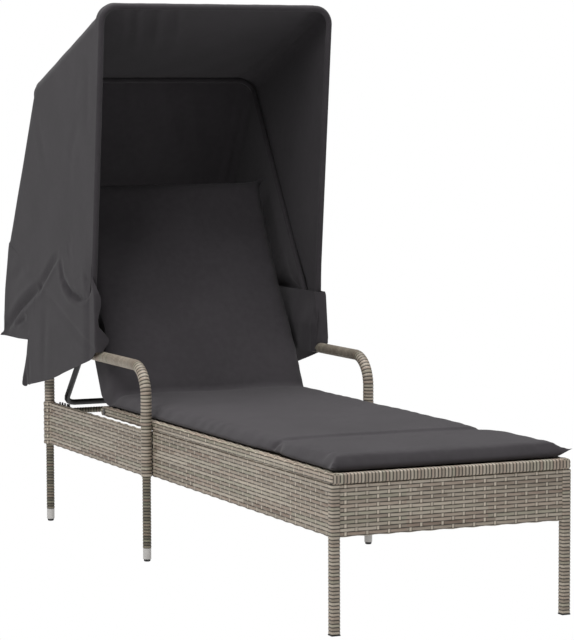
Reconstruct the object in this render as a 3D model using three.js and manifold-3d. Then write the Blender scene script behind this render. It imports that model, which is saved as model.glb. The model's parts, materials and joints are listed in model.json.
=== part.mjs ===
// Sun lounger with a folding canopy, in millimetres, +Z up.
// X runs across the lounger, Y from the foot end to the head end, and the floor is Z = 0.
// Left is -X and right is +X, as seen from the foot end.
import * as THREE from 'three';
import { mergeVertices } from 'three/addons/utils/BufferGeometryUtils.js';
import Module from 'manifold-3d';

const wasm = await Module();
wasm.setup();

// Clearances
const seatGap = 0.3; // between a piece and what it rests on
const cutOverrun = 2; // how far a cutting tool runs past what it cuts
const tubeSides = 12; // flats round a bent tube

// Seat and base
const deckHalfWidth = 300;
const seatTop = 357;
const seatLength = 1436;
const rimHeight = 24;
const rimInset = 2.3; // the rim's sides lie inside the foot legs' outer faces
const railWidth = 22;
const railEdgeRadius = 4;
const apronBottom = 217;
const apronThickness = 14;
const apronRailHeight = 17;
const apronWebThickness = 6;
const footApronInset = 3;
const footApronSideGap = 5;
const deckThickness = 3;
const deckBarHeight = 16;
const deckBarWidth = 18;
const deckBarShares = [0.25, 0.5, 0.75];
const hingeFromRear = 24; // from the side rails' rear ends to the backrest's hinge
const hingeY = seatLength - hingeFromRear;
const rearRailAhead = 40; // from the hinge to the front of the rail that carries it
const rearRailFront = hingeY - rearRailAhead;

// Legs and armrest hoops
const footLegSide = 22;
const footLegWall = 2;
const footPlugFlange = 2.6;
const footPlugStem = 26;
const hoopRadius = 14;
const hoopOverlap = 2; // how far a hoop lies in over the deck's edge
const hoopX = deckHalfWidth - hoopOverlap + hoopRadius;
const rearApronIn = 8; // from a hoop's outer side in to the rear apron's
const rearApronOut = hoopX + hoopRadius - rearApronIn;
const hoopBore = 9.5;
const hoopTop = 508;
const hoopBend = 75;
const armAhead = 339; // from the backrest's hinge to the middle posts
const armBehind = 396; // and to the rear posts
const hoopFrontY = hingeY - armAhead;
const hoopRearY = hingeY + armBehind;
const lowerLegRadius = 11;
const lowerLegBore = 6.5;
const spigotLength = 70;
const sleeveTop = 34;
const sleeveRadius = 10.4;
const sleeveWall = 1.6;
const glideRadius = 8.6;
const glideHeight = 6;
const glideStem = 30;
const glideTipShare = 0.72; // the flat under a glide, as a share of its radius
const glideSteps = 4;
const postWrap = 1.6;
const crossTubeRadius = 8;
const headTubeTop = 312;
const headTubeBehind = 3;
const headTubeY = hoopRearY + headTubeBehind;
const middleTubeTop = 331;
const bufferRadius = 5;

// Backrest
const backrestAngle = THREE.MathUtils.degToRad(61);
const backrestLength = 606;
const backrestRoom = 28; // it turns between the rear aprons
const backrestHalfWidth = deckHalfWidth - backrestRoom;
const bufferInset = 19;
const bufferX = backrestHalfWidth - bufferInset;
const backrestRail = 22;
const backrestBarShares = [0.08, 0.36, 0.68];
const hingeBoltRadius = 4;
const hingeHeadRadius = 7.5;
const boltHeadHeight = 3;
const boltClearance = 0.3;

// Support stay and its racks
const stayPivotAlong = 272;
const stayPivotBelow = 22;
const stayRadius = 8;
const stayOutset = 0.5;
const stayX = backrestHalfWidth + stayOutset;
const stayBend = 26;
const stayWall = 1.5;
const stayTail = 5; // how far its ends run past the pivot, clear of the backrest's rails
const stayFootAhead = 18; // its foot bar lies this far ahead of the rear posts
const stayFootY = hoopRearY - stayFootAhead;
const stayFootZ = 330;
const stayBoltRadius = 3;
const stayBoltHead = 6;
const earThickness = 4;
const earHalfLength = 13;
const rackThickness = 4;
const rackSideGap = 2;
const rackAhead = 68; // how far a rack runs ahead of the foot bar
const rackBehind = 12; // and behind it
const rackFront = stayFootY - rackAhead;
const rackRear = stayFootY + rackBehind;
const rackHeight = 34;
const rackAbove = 2; // the foot bar's middle
const rackTop = stayFootZ + rackAbove;
const notchPitch = 21;
const notchCount = 3;
const notchClearance = 0.7;
const rackLugLength = 18;
const rackLugHeight = 16;

// Cushions
const cushionInset = 11;
const cushionHalfWidth = deckHalfWidth - cushionInset;
const cushionThickness = 31;
const cushionCrown = 7;
const cushionDrawIn = 5;
const cushionEdgeShare = 1 / 3; // how high the sewn edge lies, as a share of the thickness
const cushionRounding = [0, 0.35, 1]; // grid lines over a rounded edge, as shares of the thickness
const cushionUnderRound = 1.6; // how much sooner the underside is flat than the top
const crownAcross = 4; // powers of the crown's fall towards the sides
const crownAlong = 8; // and towards the ends
const drawInAcross = 6; // power that keeps the ends' drawing in away from the corners
const cushionFront = 1;
const cushionHingeGap = 34;
const cushionRear = hingeY - cushionHingeGap;
const cushionSeamY = 415;
const cushionSeamDepth = 5;
const cushionSeamWidth = 9;
const backCushionStart = 30;
const backCushionOver = 36; // how far it reaches past the backrest's top
const backCushionEnd = backrestLength + backCushionOver;

// Canopy bows
const bowPivotBehind = 15; // the backrest's hinge
const bowPivotY = hingeY + bowPivotBehind;
const bowPivotLift = 22; // above the armrests
const bowPivotZ = hoopTop + bowPivotLift;
const bowOutset = 12; // of the hoops' middle
const bowHalfWidth = hoopX + bowOutset;
const bowRadius = 6.5;
const bowWall = 1.2;
const bowCorner = 42;
const bowTubeStart = 92;
const bowTabHeight = 18;
const bowTabThickness = 4;
const bowTabGap = 0.5;
const bowTabOverlap = 16;
const bowStackDepth = 8;
const bowStackInner = bowHalfWidth - bowStackDepth;
const bowBoltRadius = 4;
const bowBoltHeadRadius = 8;
const bowBoltHeadHeight = 2.2;
const bowNutHeight = 4.5;
const bowNutRadius = 7;
const bows = {
  rear: { angle: THREE.MathUtils.degToRad(19.44), length: 721.4, layer: 0 },
  middle: { angle: THREE.MathUtils.degToRad(57.76), length: 815.4, layer: 1 },
  front: { angle: THREE.MathUtils.degToRad(96.02), length: 882.3, layer: 2 },
};
const bracketThickness = 4;
const bracketLength = 36;
const bracketBand = 3.6;
const bracketEarRadius = 13;

// Canopy fabric
const fabricThickness = 2.5;
const fabricOverBow = 8.5;
const fabricStart = 60;
const fabricSag = 14;
const skirtFlare = 4.8;
const curtainFlare = 46;
const tailDrop = 167;
const curtainFoldDepth = 7;
const sideFoldTurns = 14; // half waves of the folds over the canopy's rear reach
const backFoldTurns = 5; // and over half of its width
const flarePower = 0.7; // how early the skirt stands off on its way down
const columnStep = 0.02; // columns nearer than this are not divided
// Each column of the hanging skirt: where it leaves the rear bow, where its hem lies (both as
// shares of the canopy's rear reach, counted from the pivot) and how far the hem hangs below the
// pivot, as a share of the tail's drop.
const skirtColumnShares = [
  [-0.08, -0.083, 0.066], [0.005, 0.005, 0.16], [0.16, 0.171, 0.36], [0.316, 0.326, 0.54],
  [0.451, 0.482, 0.75], [0.544, 0.627, 0.89], [0.614, 0.782, 1], [0.624, 0.717, 0.198],
  [0.772, 0.813, 0.198], [0.855, 0.896, 0.198],
];

const rimHalfWidth = deckHalfWidth - rimInset;
const rimInner = rimHalfWidth - railWidth;
const rimBottom = seatTop - rimHeight;
const underRim = rimBottom - seatGap;
const hingeZ = rimBottom + rimHeight / 2;

// Materials
const material = (color, roughness, metalness = 0) =>
  new THREE.MeshStandardMaterial({ color, roughness, metalness });
const wicker = material(0x8c8276, 0.6);
const wickerDark = material(0x5a5548, 0.65);
const blackSteel = material(0x17171a, 0.45, 0.4);
const zincSteel = material(0x8d8f92, 0.35, 0.8);
const greySleeve = material(0xb9babc, 0.4, 0.2);
const blackPlastic = material(0x111112, 0.5);
const cushionCloth = material(0x58575a, 0.95);
const canopyCloth = material(0x4d4c4e, 0.9);

const lounger = new THREE.Group();

function addMesh(name, geometry, look, parent = lounger) {
  const mesh = new THREE.Mesh(geometry, look);
  mesh.name = name;
  parent.add(mesh);
  return mesh;
}

// Solids

function bare(geometry) {
  const plain = geometry.clone();
  for (const key of Object.keys(plain.attributes)) {
    if (key !== 'position') plain.deleteAttribute(key);
  }
  return mergeVertices(plain, 1e-4);
}

function solid(geometry) {
  const merged = bare(geometry);
  return new wasm.Manifold(new wasm.Mesh({
    numProp: 3,
    vertProperties: new Float32Array(merged.attributes.position.array),
    triVerts: new Uint32Array(merged.index.array),
  }));
}

function geometryOf(body) {
  const mesh = body.getMesh();
  const geometry = new THREE.BufferGeometry();
  geometry.setAttribute('position', new THREE.BufferAttribute(new Float32Array(mesh.vertProperties), 3));
  geometry.setIndex(new THREE.BufferAttribute(new Uint32Array(mesh.triVerts), 1));
  geometry.computeVertexNormals();
  return geometry;
}

const join = (...pieces) => geometryOf(pieces.map(solid).reduce((sum, piece) => sum.add(piece)));
const cut = (piece, ...tools) =>
  geometryOf(tools.map(solid).reduce((rest, tool) => rest.subtract(tool), solid(piece)));

// The same form on the other side of the lounger's middle plane.
function mirrored(geometry) {
  const other = bare(geometry);
  other.scale(-1, 1, 1);
  const index = other.index.array;
  for (let i = 0; i < index.length; i += 3) [index[i], index[i + 1]] = [index[i + 1], index[i]];
  other.computeVertexNormals();
  return other;
}

function outline(points) {
  return new THREE.Shape(points.map(([u, v]) => new THREE.Vector2(u, v)));
}

function roundedRect(width, height, radius, u = 0, v = 0) {
  const shape = new THREE.Shape();
  const [left, right, low, high] = [u - width / 2, u + width / 2, v - height / 2, v + height / 2];
  shape.moveTo(left + radius, low);
  shape.lineTo(right - radius, low);
  shape.absarc(right - radius, low + radius, radius, -Math.PI / 2, 0);
  shape.lineTo(right, high - radius);
  shape.absarc(right - radius, high - radius, radius, 0, Math.PI / 2);
  shape.lineTo(left + radius, high);
  shape.absarc(left + radius, high - radius, radius, Math.PI / 2, Math.PI);
  shape.lineTo(left, low + radius);
  shape.absarc(left + radius, low + radius, radius, Math.PI, Math.PI * 1.5);
  return shape;
}

function prism(shape, depth, curveSegments = 2) {
  return new THREE.ExtrudeGeometry(shape, { depth, bevelEnabled: false, curveSegments });
}

// A shape drawn in (y, z), carried along X.
function alongX(shape, from, to, curveSegments = 2) {
  const [low, high] = [Math.min(from, to), Math.max(from, to)];
  const turn = new THREE.Matrix4().set(0, 0, 1, low, 1, 0, 0, 0, 0, 1, 0, 0, 0, 0, 0, 1);
  return prism(shape, high - low, curveSegments).applyMatrix4(turn);
}

// A shape drawn in (x, z), carried along Y.
function alongY(shape, from, to, curveSegments = 2) {
  const turn = new THREE.Matrix4().set(1, 0, 0, 0, 0, 0, -1, to, 0, 1, 0, 0, 0, 0, 0, 1);
  return prism(shape, to - from, curveSegments).applyMatrix4(turn);
}

// A shape drawn in (x, y), carried along Z.
function alongZ(shape, from, to, curveSegments = 2) {
  return prism(shape, to - from, curveSegments).translate(0, 0, from);
}

function rodX(radius, from, to, y, z, sides = 16) {
  const [low, high] = [Math.min(from, to), Math.max(from, to)];
  return new THREE.CylinderGeometry(radius, radius, high - low, sides)
    .rotateZ(-Math.PI / 2).translate((low + high) / 2, y, z);
}

function rodY(radius, from, to, x, z, sides = 24) {
  return new THREE.CylinderGeometry(radius, radius, to - from, sides).translate(x, (from + to) / 2, z);
}

function rodZ(radius, from, to, x, y, sides = 16) {
  return new THREE.CylinderGeometry(radius, radius, to - from, sides)
    .rotateX(Math.PI / 2).translate(x, y, (from + to) / 2);
}

// A path of straight runs joined by arcs of one bend radius, with a station at the end of each
// run and at even steps round each arc.
class BentPath extends THREE.Curve {
  constructor(corners, bend, arcSteps) {
    super();
    this.stations = [{ point: corners[0], tangent: corners[1].clone().sub(corners[0]).normalize() }];
    for (let i = 1; i < corners.length - 1; i += 1) {
      const inward = corners[i].clone().sub(corners[i - 1]).normalize();
      const outward = corners[i + 1].clone().sub(corners[i]).normalize();
      const turn = inward.angleTo(outward);
      const setBack = bend * Math.tan(turn / 2);
      const start = corners[i].clone().addScaledVector(inward, -setBack);
      const toCentre = outward.clone().addScaledVector(inward, -outward.dot(inward)).normalize();
      const centre = start.clone().addScaledVector(toCentre, bend);
      for (let k = 0; k <= arcSteps; k += 1) {
        const angle = (turn * k) / arcSteps;
        const point = centre.clone().addScaledVector(toCentre, -bend * Math.cos(angle))
          .addScaledVector(inward, bend * Math.sin(angle));
        const tangent = inward.clone().multiplyScalar(Math.cos(angle))
          .addScaledVector(toCentre, Math.sin(angle));
        this.stations.push({ point, tangent });
      }
    }
    const last = corners.length - 1;
    this.stations.push({
      point: corners[last],
      tangent: corners[last].clone().sub(corners[last - 1]).normalize(),
    });
  }

  get steps() {
    return this.stations.length - 1;
  }

  station(u) {
    return this.stations[Math.round(u * this.steps)];
  }

  getPoint(u) {
    return this.station(u).point.clone();
  }

  getPointAt(u) {
    return this.station(u).point.clone();
  }

  getTangentAt(u) {
    return this.station(u).tangent.clone();
  }
}

function ringShape(radius, bore = 0, sides = 12) {
  const circle = (r, turn) => Array.from({ length: sides }, (unused, i) => {
    const angle = (2 * Math.PI * i * turn) / sides;
    return [r * Math.cos(angle), r * Math.sin(angle)];
  });
  const shape = outline(circle(radius, 1));
  if (bore > 0) shape.holes.push(new THREE.Path(circle(bore, -1).map(([u, v]) => new THREE.Vector2(u, v))));
  return shape;
}

function bentTube(corners, bend, radius, bore = 0, arcSteps = 6, sides = tubeSides) {
  const path = new BentPath(corners.map((c) => new THREE.Vector3(...c)), bend, arcSteps);
  return new THREE.ExtrudeGeometry(ringShape(radius, bore, sides), {
    steps: path.steps, extrudePath: path, bevelEnabled: false,
  });
}

// A closed sheet between two grids of points, grid[i][j]. Seen from outside, i runs to the right
// as j runs down.
function sheetSolid(inner, outer) {
  const rows = inner.length;
  const cols = inner[0].length;
  const positions = [];
  const index = [];
  for (const grid of [outer, inner]) {
    for (const row of grid) for (const point of row) positions.push(...point);
  }
  const at = (side, i, j) => side * rows * cols + i * cols + j;
  const quad = (a, b, c, d) => index.push(a, c, b, a, d, c);
  for (let i = 0; i < rows - 1; i += 1) {
    for (let j = 0; j < cols - 1; j += 1) {
      quad(at(0, i, j), at(0, i + 1, j), at(0, i + 1, j + 1), at(0, i, j + 1));
      quad(at(1, i, j), at(1, i, j + 1), at(1, i + 1, j + 1), at(1, i + 1, j));
    }
  }
  const rim = [];
  for (let i = 0; i < rows - 1; i += 1) rim.push([i, 0]);
  for (let j = 0; j < cols - 1; j += 1) rim.push([rows - 1, j]);
  for (let i = rows - 1; i > 0; i -= 1) rim.push([i, cols - 1]);
  for (let j = cols - 1; j > 0; j -= 1) rim.push([0, j]);
  rim.forEach(([i, j], k) => {
    const [p, q] = rim[(k + 1) % rim.length];
    quad(at(0, i, j), at(1, i, j), at(1, p, q), at(0, p, q));
  });
  const geometry = new THREE.BufferGeometry();
  geometry.setAttribute('position', new THREE.Float32BufferAttribute(positions, 3));
  geometry.setIndex(index);
  geometry.computeVertexNormals();
  return geometry;
}

// Seat frame: two long rails that run past the backrest's hinge, a foot rail, a rear rail and
// three bars that carry the woven deck.
function seatFrame() {
  const [outer, inner] = [rimHalfWidth, rimInner];
  const rearRailBack = rearRailFront + railWidth;
  const plan = outline([
    [-outer, 0], [outer, 0], [outer, seatLength], [inner, seatLength],
    [inner, rearRailBack], [-inner, rearRailBack], [-inner, seatLength], [-outer, seatLength],
  ]);
  plan.holes.push(new THREE.Path([
    [-inner, railWidth], [-inner, rearRailFront], [inner, rearRailFront], [inner, railWidth],
  ].map(([x, y]) => new THREE.Vector2(x, y))));
  const rim = new THREE.ExtrudeGeometry(plan, {
    depth: rimHeight - 2 * railEdgeRadius,
    bevelSize: railEdgeRadius,
    bevelThickness: railEdgeRadius,
    bevelOffset: -railEdgeRadius,
    bevelSegments: 2,
  }).translate(0, 0, rimBottom + railEdgeRadius);
  const bars = deckBarShares.map((share) => {
    const y = rearRailFront * share;
    return alongX(
      roundedRect(deckBarWidth, deckBarHeight, railEdgeRadius, y, rimBottom + deckBarHeight / 2),
      -inner - railWidth / 2, inner + railWidth / 2,
    );
  });
  const boltHole = rodX(
    hingeBoltRadius + boltClearance, -outer - cutOverrun, outer + cutOverrun, hingeY, hingeZ,
  );
  return cut(join(rim, ...bars), boltHole);
}

function seatDeck() {
  const inner = rimInner - seatGap;
  const low = rimBottom + deckBarHeight + seatGap;
  const plan = outline([
    [-inner, railWidth + seatGap], [inner, railWidth + seatGap],
    [inner, rearRailFront - seatGap], [-inner, rearRailFront - seatGap],
  ]);
  return alongZ(plan, low, low + deckThickness);
}

addMesh('seat_frame', seatFrame(), wicker);
addMesh('seat_woven_deck', seatDeck(), wicker);

// Aprons: a woven skin between a top and a bottom rail. The profile is drawn with its outer face
// at zero and its thickness growing inwards.
function apronProfile(top) {
  const skin = apronWebThickness;
  const lowRail = apronBottom + apronRailHeight;
  const highRail = top - apronRailHeight;
  return [
    [0, apronBottom], [0, top], [apronThickness, top], [apronThickness, highRail], [skin, highRail - skin],
    [skin, lowRail + skin], [apronThickness, lowRail], [apronThickness, apronBottom],
  ];
}

const apronTop = underRim;
const rearApronTop = rimBottom - 2 * seatGap;

function footApron() {
  const half = deckHalfWidth - footLegSide - footApronSideGap;
  return alongX(outline(apronProfile(apronTop).map(([u, v]) => [footApronInset + u, v]).reverse()), -half, half);
}

function frontApron() {
  const profile = apronProfile(apronTop).map(([u, v]) => [rimHalfWidth - u, v]);
  return alongY(outline(profile), footLegSide + seatGap, hoopFrontY - hoopRadius - seatGap);
}

// The rear apron's weave goes on round the rear post, as a wrap.
function rearApron() {
  const profile = apronProfile(rearApronTop).map(([u, v]) => [rearApronOut - u, v]);
  const panel = alongY(outline(profile), hoopFrontY + hoopRadius + seatGap, hoopRearY);
  const wrap = rodZ(hoopRadius + seatGap + postWrap, apronBottom, rearApronTop, hoopX, hoopRearY, 20);
  const bore = rodZ(
    hoopRadius + seatGap, apronBottom - cutOverrun, rearApronTop + cutOverrun, hoopX, hoopRearY, 20,
  );
  return cut(join(panel, wrap), bore);
}

addMesh('foot_apron', footApron(), wicker);
addMesh('right_front_apron', frontApron(), wicker);
addMesh('left_front_apron', mirrored(frontApron()), wicker);
addMesh('right_rear_apron', rearApron(), wicker);
addMesh('left_rear_apron', mirrored(rearApron()), wicker);

// Square legs at the foot end, with plugs pushed into them.
function footLeg() {
  const centre = [deckHalfWidth - footLegSide / 2, footLegSide / 2];
  const section = roundedRect(footLegSide, footLegSide, footLegWall, ...centre);
  const boreSide = footLegSide - 2 * footLegWall;
  const bore = roundedRect(boreSide, boreSide, footLegWall / 2, ...centre);
  return cut(
    alongZ(section, footPlugFlange + seatGap, underRim),
    alongZ(bore, -cutOverrun, underRim - footLegWall),
  );
}

function footPlug() {
  const centre = [deckHalfWidth - footLegSide / 2, footLegSide / 2];
  const stemSide = footLegSide - 2 * footLegWall - 2 * seatGap;
  return join(
    alongZ(roundedRect(footLegSide, footLegSide, footLegWall, ...centre), 0, footPlugFlange),
    alongZ(roundedRect(stemSide, stemSide, footLegWall / 2, ...centre), footPlugFlange / 2, footPlugStem),
  );
}

addMesh('right_foot_leg', footLeg(), wicker);
addMesh('left_foot_leg', mirrored(footLeg()), wicker);
addMesh('right_foot_plug', footPlug(), blackPlastic);
addMesh('left_foot_plug', mirrored(footPlug()), blackPlastic);

// Armrest hoops: one bent tube a side, wrapped all over, open at both lower ends.
function armHoop() {
  const high = hoopTop - hoopRadius;
  return bentTube([
    [hoopX, hoopFrontY, apronBottom], [hoopX, hoopFrontY, high],
    [hoopX, hoopRearY, high], [hoopX, hoopRearY, apronBottom],
  ], hoopBend, hoopRadius, hoopBore);
}

addMesh('right_arm_hoop', armHoop(), wicker);
addMesh('left_arm_hoop', mirrored(armHoop()), wicker);

// Lower legs: a wrapped tube with a spigot that goes up into the hoop, a grey sleeve on its
// lower end and a domed glide under that.
function turned(profile, x, y, sides = 16) {
  const points = profile.map(([r, z]) => new THREE.Vector2(r, z));
  return new THREE.LatheGeometry(points, sides).rotateX(Math.PI / 2).translate(x, y, 0);
}

function lowerLeg(y) {
  const spigot = hoopBore * Math.cos(Math.PI / tubeSides) - seatGap; // clears the bore's flats
  const shoulder = apronBottom - seatGap;
  const foot = sleeveTop + seatGap;
  const neck = sleeveRadius - sleeveWall - seatGap;
  return turned([
    [lowerLegBore, glideHeight + 2 * seatGap], [neck, glideHeight + 2 * seatGap], [neck, foot],
    [lowerLegRadius, foot], [lowerLegRadius, shoulder], [spigot, shoulder],
    [spigot, shoulder + spigotLength], [lowerLegBore, shoulder + spigotLength],
    [lowerLegBore, glideHeight + 2 * seatGap],
  ], hoopX, y);
}

function legSleeve(y) {
  const bore = sleeveRadius - sleeveWall;
  const low = glideHeight + seatGap;
  return turned([
    [bore, low], [sleeveRadius, low], [sleeveRadius, sleeveTop], [bore, sleeveTop], [bore, low],
  ], hoopX, y);
}

function glide(y) {
  const stem = lowerLegBore - seatGap;
  const dome = Array.from({ length: glideSteps + 1 }, (unused, i) => {
    const angle = (i / glideSteps) * (Math.PI / 2);
    const share = glideTipShare + (1 - glideTipShare) * Math.sin(angle);
    return [glideRadius * share, (glideHeight / 2) * (1 - Math.cos(angle))];
  });
  return turned([[0, 0], ...dome, [glideRadius, glideHeight], [stem, glideHeight], [stem, glideStem], [0, glideStem]], hoopX, y);
}

for (const [place, y] of [['front', hoopFrontY], ['rear', hoopRearY]]) {
  const [leg, sleeve, foot] = [lowerLeg(y), legSleeve(y), glide(y)];
  addMesh(`right_${place}_lower_leg`, leg, wickerDark);
  addMesh(`left_${place}_lower_leg`, mirrored(leg), wickerDark);
  addMesh(`right_${place}_leg_sleeve`, sleeve, greySleeve);
  addMesh(`left_${place}_leg_sleeve`, mirrored(sleeve), greySleeve);
  addMesh(`right_${place}_glide`, foot, blackPlastic);
  addMesh(`left_${place}_glide`, mirrored(foot), blackPlastic);
}

// Cross tubes between the two side hoops.
const hoopInner = hoopX - hoopRadius - seatGap;
addMesh('middle_cross_tube', rodX(
  crossTubeRadius, -hoopInner, hoopInner, hoopFrontY, middleTubeTop - crossTubeRadius, 12,
), blackSteel);

const headTubeHalf = hoopInner - seatGap - postWrap;
addMesh('head_cross_tube', rodX(
  crossTubeRadius, -headTubeHalf, headTubeHalf, headTubeY, headTubeTop - crossTubeRadius, 12,
), wickerDark);

// Racks: notched plates on the rear aprons. The stay's foot bar lies in a notch between them.
const stayOuter = stayX + stayRadius;

function rack() {
  const inner = stayOuter + rackSideGap;
  const low = rackTop - rackHeight;
  const notchRadius = stayRadius + notchClearance;
  const plate = alongX(outline([
    [rackFront, low], [rackRear, low], [rackRear, rackTop - railEdgeRadius],
    [rackRear - railEdgeRadius, rackTop], [rackFront + railEdgeRadius, rackTop],
    [rackFront, rackTop - railEdgeRadius],
  ]), inner, inner + rackThickness);
  const notches = Array.from({ length: notchCount }, (unused, i) => {
    const y = stayFootY - i * notchPitch;
    const pocket = [
      [y + notchRadius, stayFootZ], [y + notchRadius, rackTop + cutOverrun],
      [y - notchRadius, rackTop + cutOverrun], [y - notchRadius, stayFootZ],
    ];
    return join(
      alongX(outline(pocket), inner - cutOverrun, inner + rackThickness + cutOverrun),
      rodX(notchRadius, inner - cutOverrun, inner + rackThickness + cutOverrun, y, stayFootZ, 12),
    );
  });
  const lugs = [rackFront, rackRear - 2 * rackLugLength].map((y) => alongX(outline([
    [y, low], [y + rackLugLength, low], [y + rackLugLength, low + rackLugHeight], [y, low + rackLugHeight],
  ]), inner + rackThickness / 2, rearApronOut - apronThickness - seatGap));
  return join(cut(plate, ...notches), ...lugs);
}

const rackRight = rack();
addMesh('right_stay_rack', rackRight, blackSteel);
addMesh('left_stay_rack', mirrored(rackRight), blackSteel);

// Backrest, drawn lying flat: Y runs up it from the hinge and Z is square to it.
const backrest = new THREE.Group();
backrest.position.set(0, hingeY, hingeZ);
backrest.rotation.x = backrestAngle;
lounger.add(backrest);

const backrestInner = backrestHalfWidth - backrestRail;
const earX = stayX - stayRadius - earThickness / 2;

function backrestFrame() {
  const half = rimHeight / 2;
  const rail = new THREE.Shape();
  rail.moveTo(0, -half);
  rail.lineTo(backrestLength, -half);
  rail.lineTo(backrestLength, half);
  rail.lineTo(0, half);
  rail.absarc(0, 0, half, Math.PI / 2, Math.PI * 1.5);
  const side = alongX(rail, backrestInner, backrestHalfWidth, 6);
  const topRail = alongX(
    roundedRect(backrestRail, rimHeight, railEdgeRadius, backrestLength - backrestRail / 2, 0),
    -backrestHalfWidth + railEdgeRadius, backrestHalfWidth - railEdgeRadius,
  );
  const reach = backrestInner + backrestRail / 2;
  const bars = backrestBarShares.map((share) => alongX(
    roundedRect(deckBarWidth, deckBarHeight, railEdgeRadius, backrestLength * share, (deckBarHeight - rimHeight) / 2),
    -reach, reach,
  ));
  const ear = new THREE.Shape();
  const earLow = -stayPivotBelow;
  ear.moveTo(stayPivotAlong - earHalfLength, -half + railEdgeRadius);
  ear.absarc(stayPivotAlong, earLow, stayRadius, Math.PI, Math.PI * 2);
  ear.lineTo(stayPivotAlong + earHalfLength, -half + railEdgeRadius);
  const earPlate = alongX(ear, earX - earThickness / 2, earX + earThickness / 2 - seatGap, 6);
  const hinge = rodX(
    hingeBoltRadius + boltClearance, -backrestHalfWidth - cutOverrun, backrestHalfWidth + cutOverrun, 0, 0,
  );
  const pivot = rodX(
    stayBoltRadius + boltClearance, -backrestHalfWidth, backrestHalfWidth, stayPivotAlong, -stayPivotBelow, 12,
  );
  return cut(join(side, mirrored(side), topRail, ...bars, earPlate, mirrored(earPlate)), hinge, pivot);
}

function backrestDeck() {
  const half = backrestInner - seatGap;
  const low = deckBarHeight - rimHeight / 2 + seatGap;
  const start = backrestLength * backrestBarShares[0] - deckBarWidth / 2;
  const end = backrestLength - backrestRail - seatGap;
  return alongZ(outline([[-half, start], [half, start], [half, end], [-half, end]]), low, low + deckThickness);
}

addMesh('backrest_frame', backrestFrame(), blackSteel, backrest);
addMesh('backrest_woven_deck', backrestDeck(), wickerDark, backrest);

// Rubber buffers under the backrest's side rails, which come to lie on the head tube when the
// backrest is flat.
function buffer() {
  const low = headTubeTop - hingeZ + seatGap;
  return rodZ(bufferRadius, low, -rimHeight / 2 - seatGap, bufferX, headTubeY - hingeY, 12);
}

addMesh('right_backrest_buffer', buffer(), blackPlastic, backrest);
addMesh('left_backrest_buffer', mirrored(buffer()), blackPlastic, backrest);

// Hinge bolts, which go through the seat rail, a washer and the backrest's side rail, each with
// a nut on the inside.
function headedBolt(radius, headRadius, headHeight, inner, outer, y, z) {
  return join(
    rodX(radius, inner, outer + headHeight / 2, y, z, 12),
    rodX(headRadius, outer, outer + headHeight, y, z, 16),
  );
}

function nut(radius, boreRadius, from, to, y, z) {
  return cut(rodX(radius, from, to, y, z, 6), rodX(boreRadius, from - cutOverrun, to + cutOverrun, y, z, 12));
}

const hingeBolt = headedBolt(
  hingeBoltRadius, hingeHeadRadius, boltHeadHeight,
  backrestInner - bowNutHeight - 2 * seatGap, rimHalfWidth + seatGap, hingeY, hingeZ,
);
const hingeWasher = cut(
  rodX(hingeHeadRadius, backrestHalfWidth + seatGap, rimInner - seatGap, hingeY, hingeZ),
  rodX(hingeBoltRadius + boltClearance, backrestInner, rimHalfWidth, hingeY, hingeZ, 12),
);
const hingeNut = nut(
  bowNutRadius, hingeBoltRadius + boltClearance / 2,
  backrestInner - bowNutHeight - seatGap, backrestInner - seatGap, hingeY, hingeZ,
);
addMesh('right_hinge_bolt', hingeBolt, zincSteel);
addMesh('left_hinge_bolt', mirrored(hingeBolt), zincSteel);
addMesh('right_hinge_washer', hingeWasher, blackPlastic);
addMesh('left_hinge_washer', mirrored(hingeWasher), blackPlastic);
addMesh('right_hinge_nut', hingeNut, zincSteel);
addMesh('left_hinge_nut', mirrored(hingeNut), zincSteel);

// Support stay: a bent tube hinged under the backrest, with its foot bar in the racks.
const pivotY = hingeY + stayPivotAlong * Math.cos(backrestAngle) + stayPivotBelow * Math.sin(backrestAngle);
const pivotZ = hingeZ + stayPivotAlong * Math.sin(backrestAngle) - stayPivotBelow * Math.cos(backrestAngle);
const stayLength = Math.hypot(stayFootY - pivotY, stayFootZ - pivotZ);

const stay = new THREE.Group();
stay.position.set(0, pivotY, pivotZ);
stay.rotation.x = Math.atan2(stayFootZ - pivotZ, stayFootY - pivotY);
lounger.add(stay);

function supportStay() {
  const tube = bentTube([
    [-stayX, -stayTail, 0], [-stayX, stayLength, 0], [stayX, stayLength, 0], [stayX, -stayTail, 0],
  ], stayBend, stayRadius, stayRadius - stayWall, 4);
  const bore = rodX(
    stayBoltRadius + boltClearance, -stayOuter - cutOverrun, stayOuter + cutOverrun, 0, 0, 12,
  );
  return cut(tube, bore);
}

addMesh('support_stay', supportStay(), blackSteel, stay);

const stayBolt = headedBolt(
  stayBoltRadius, stayBoltHead, boltHeadHeight / 2,
  earX - earThickness / 2 - boltHeadHeight - 2 * seatGap, stayOuter + seatGap, stayPivotAlong, -stayPivotBelow,
);
addMesh('right_stay_bolt', stayBolt, zincSteel, backrest);
addMesh('left_stay_bolt', mirrored(stayBolt), zincSteel, backrest);

// Cushions: a crowned form, flat below, whose sides are drawn in between its corners. Rows run
// along it and columns across. A sewn channel crosses the seat cushion.
function spread(count, from, to) {
  return Array.from({ length: count + 1 }, (unused, i) => from + ((to - from) * i) / count);
}

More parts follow.
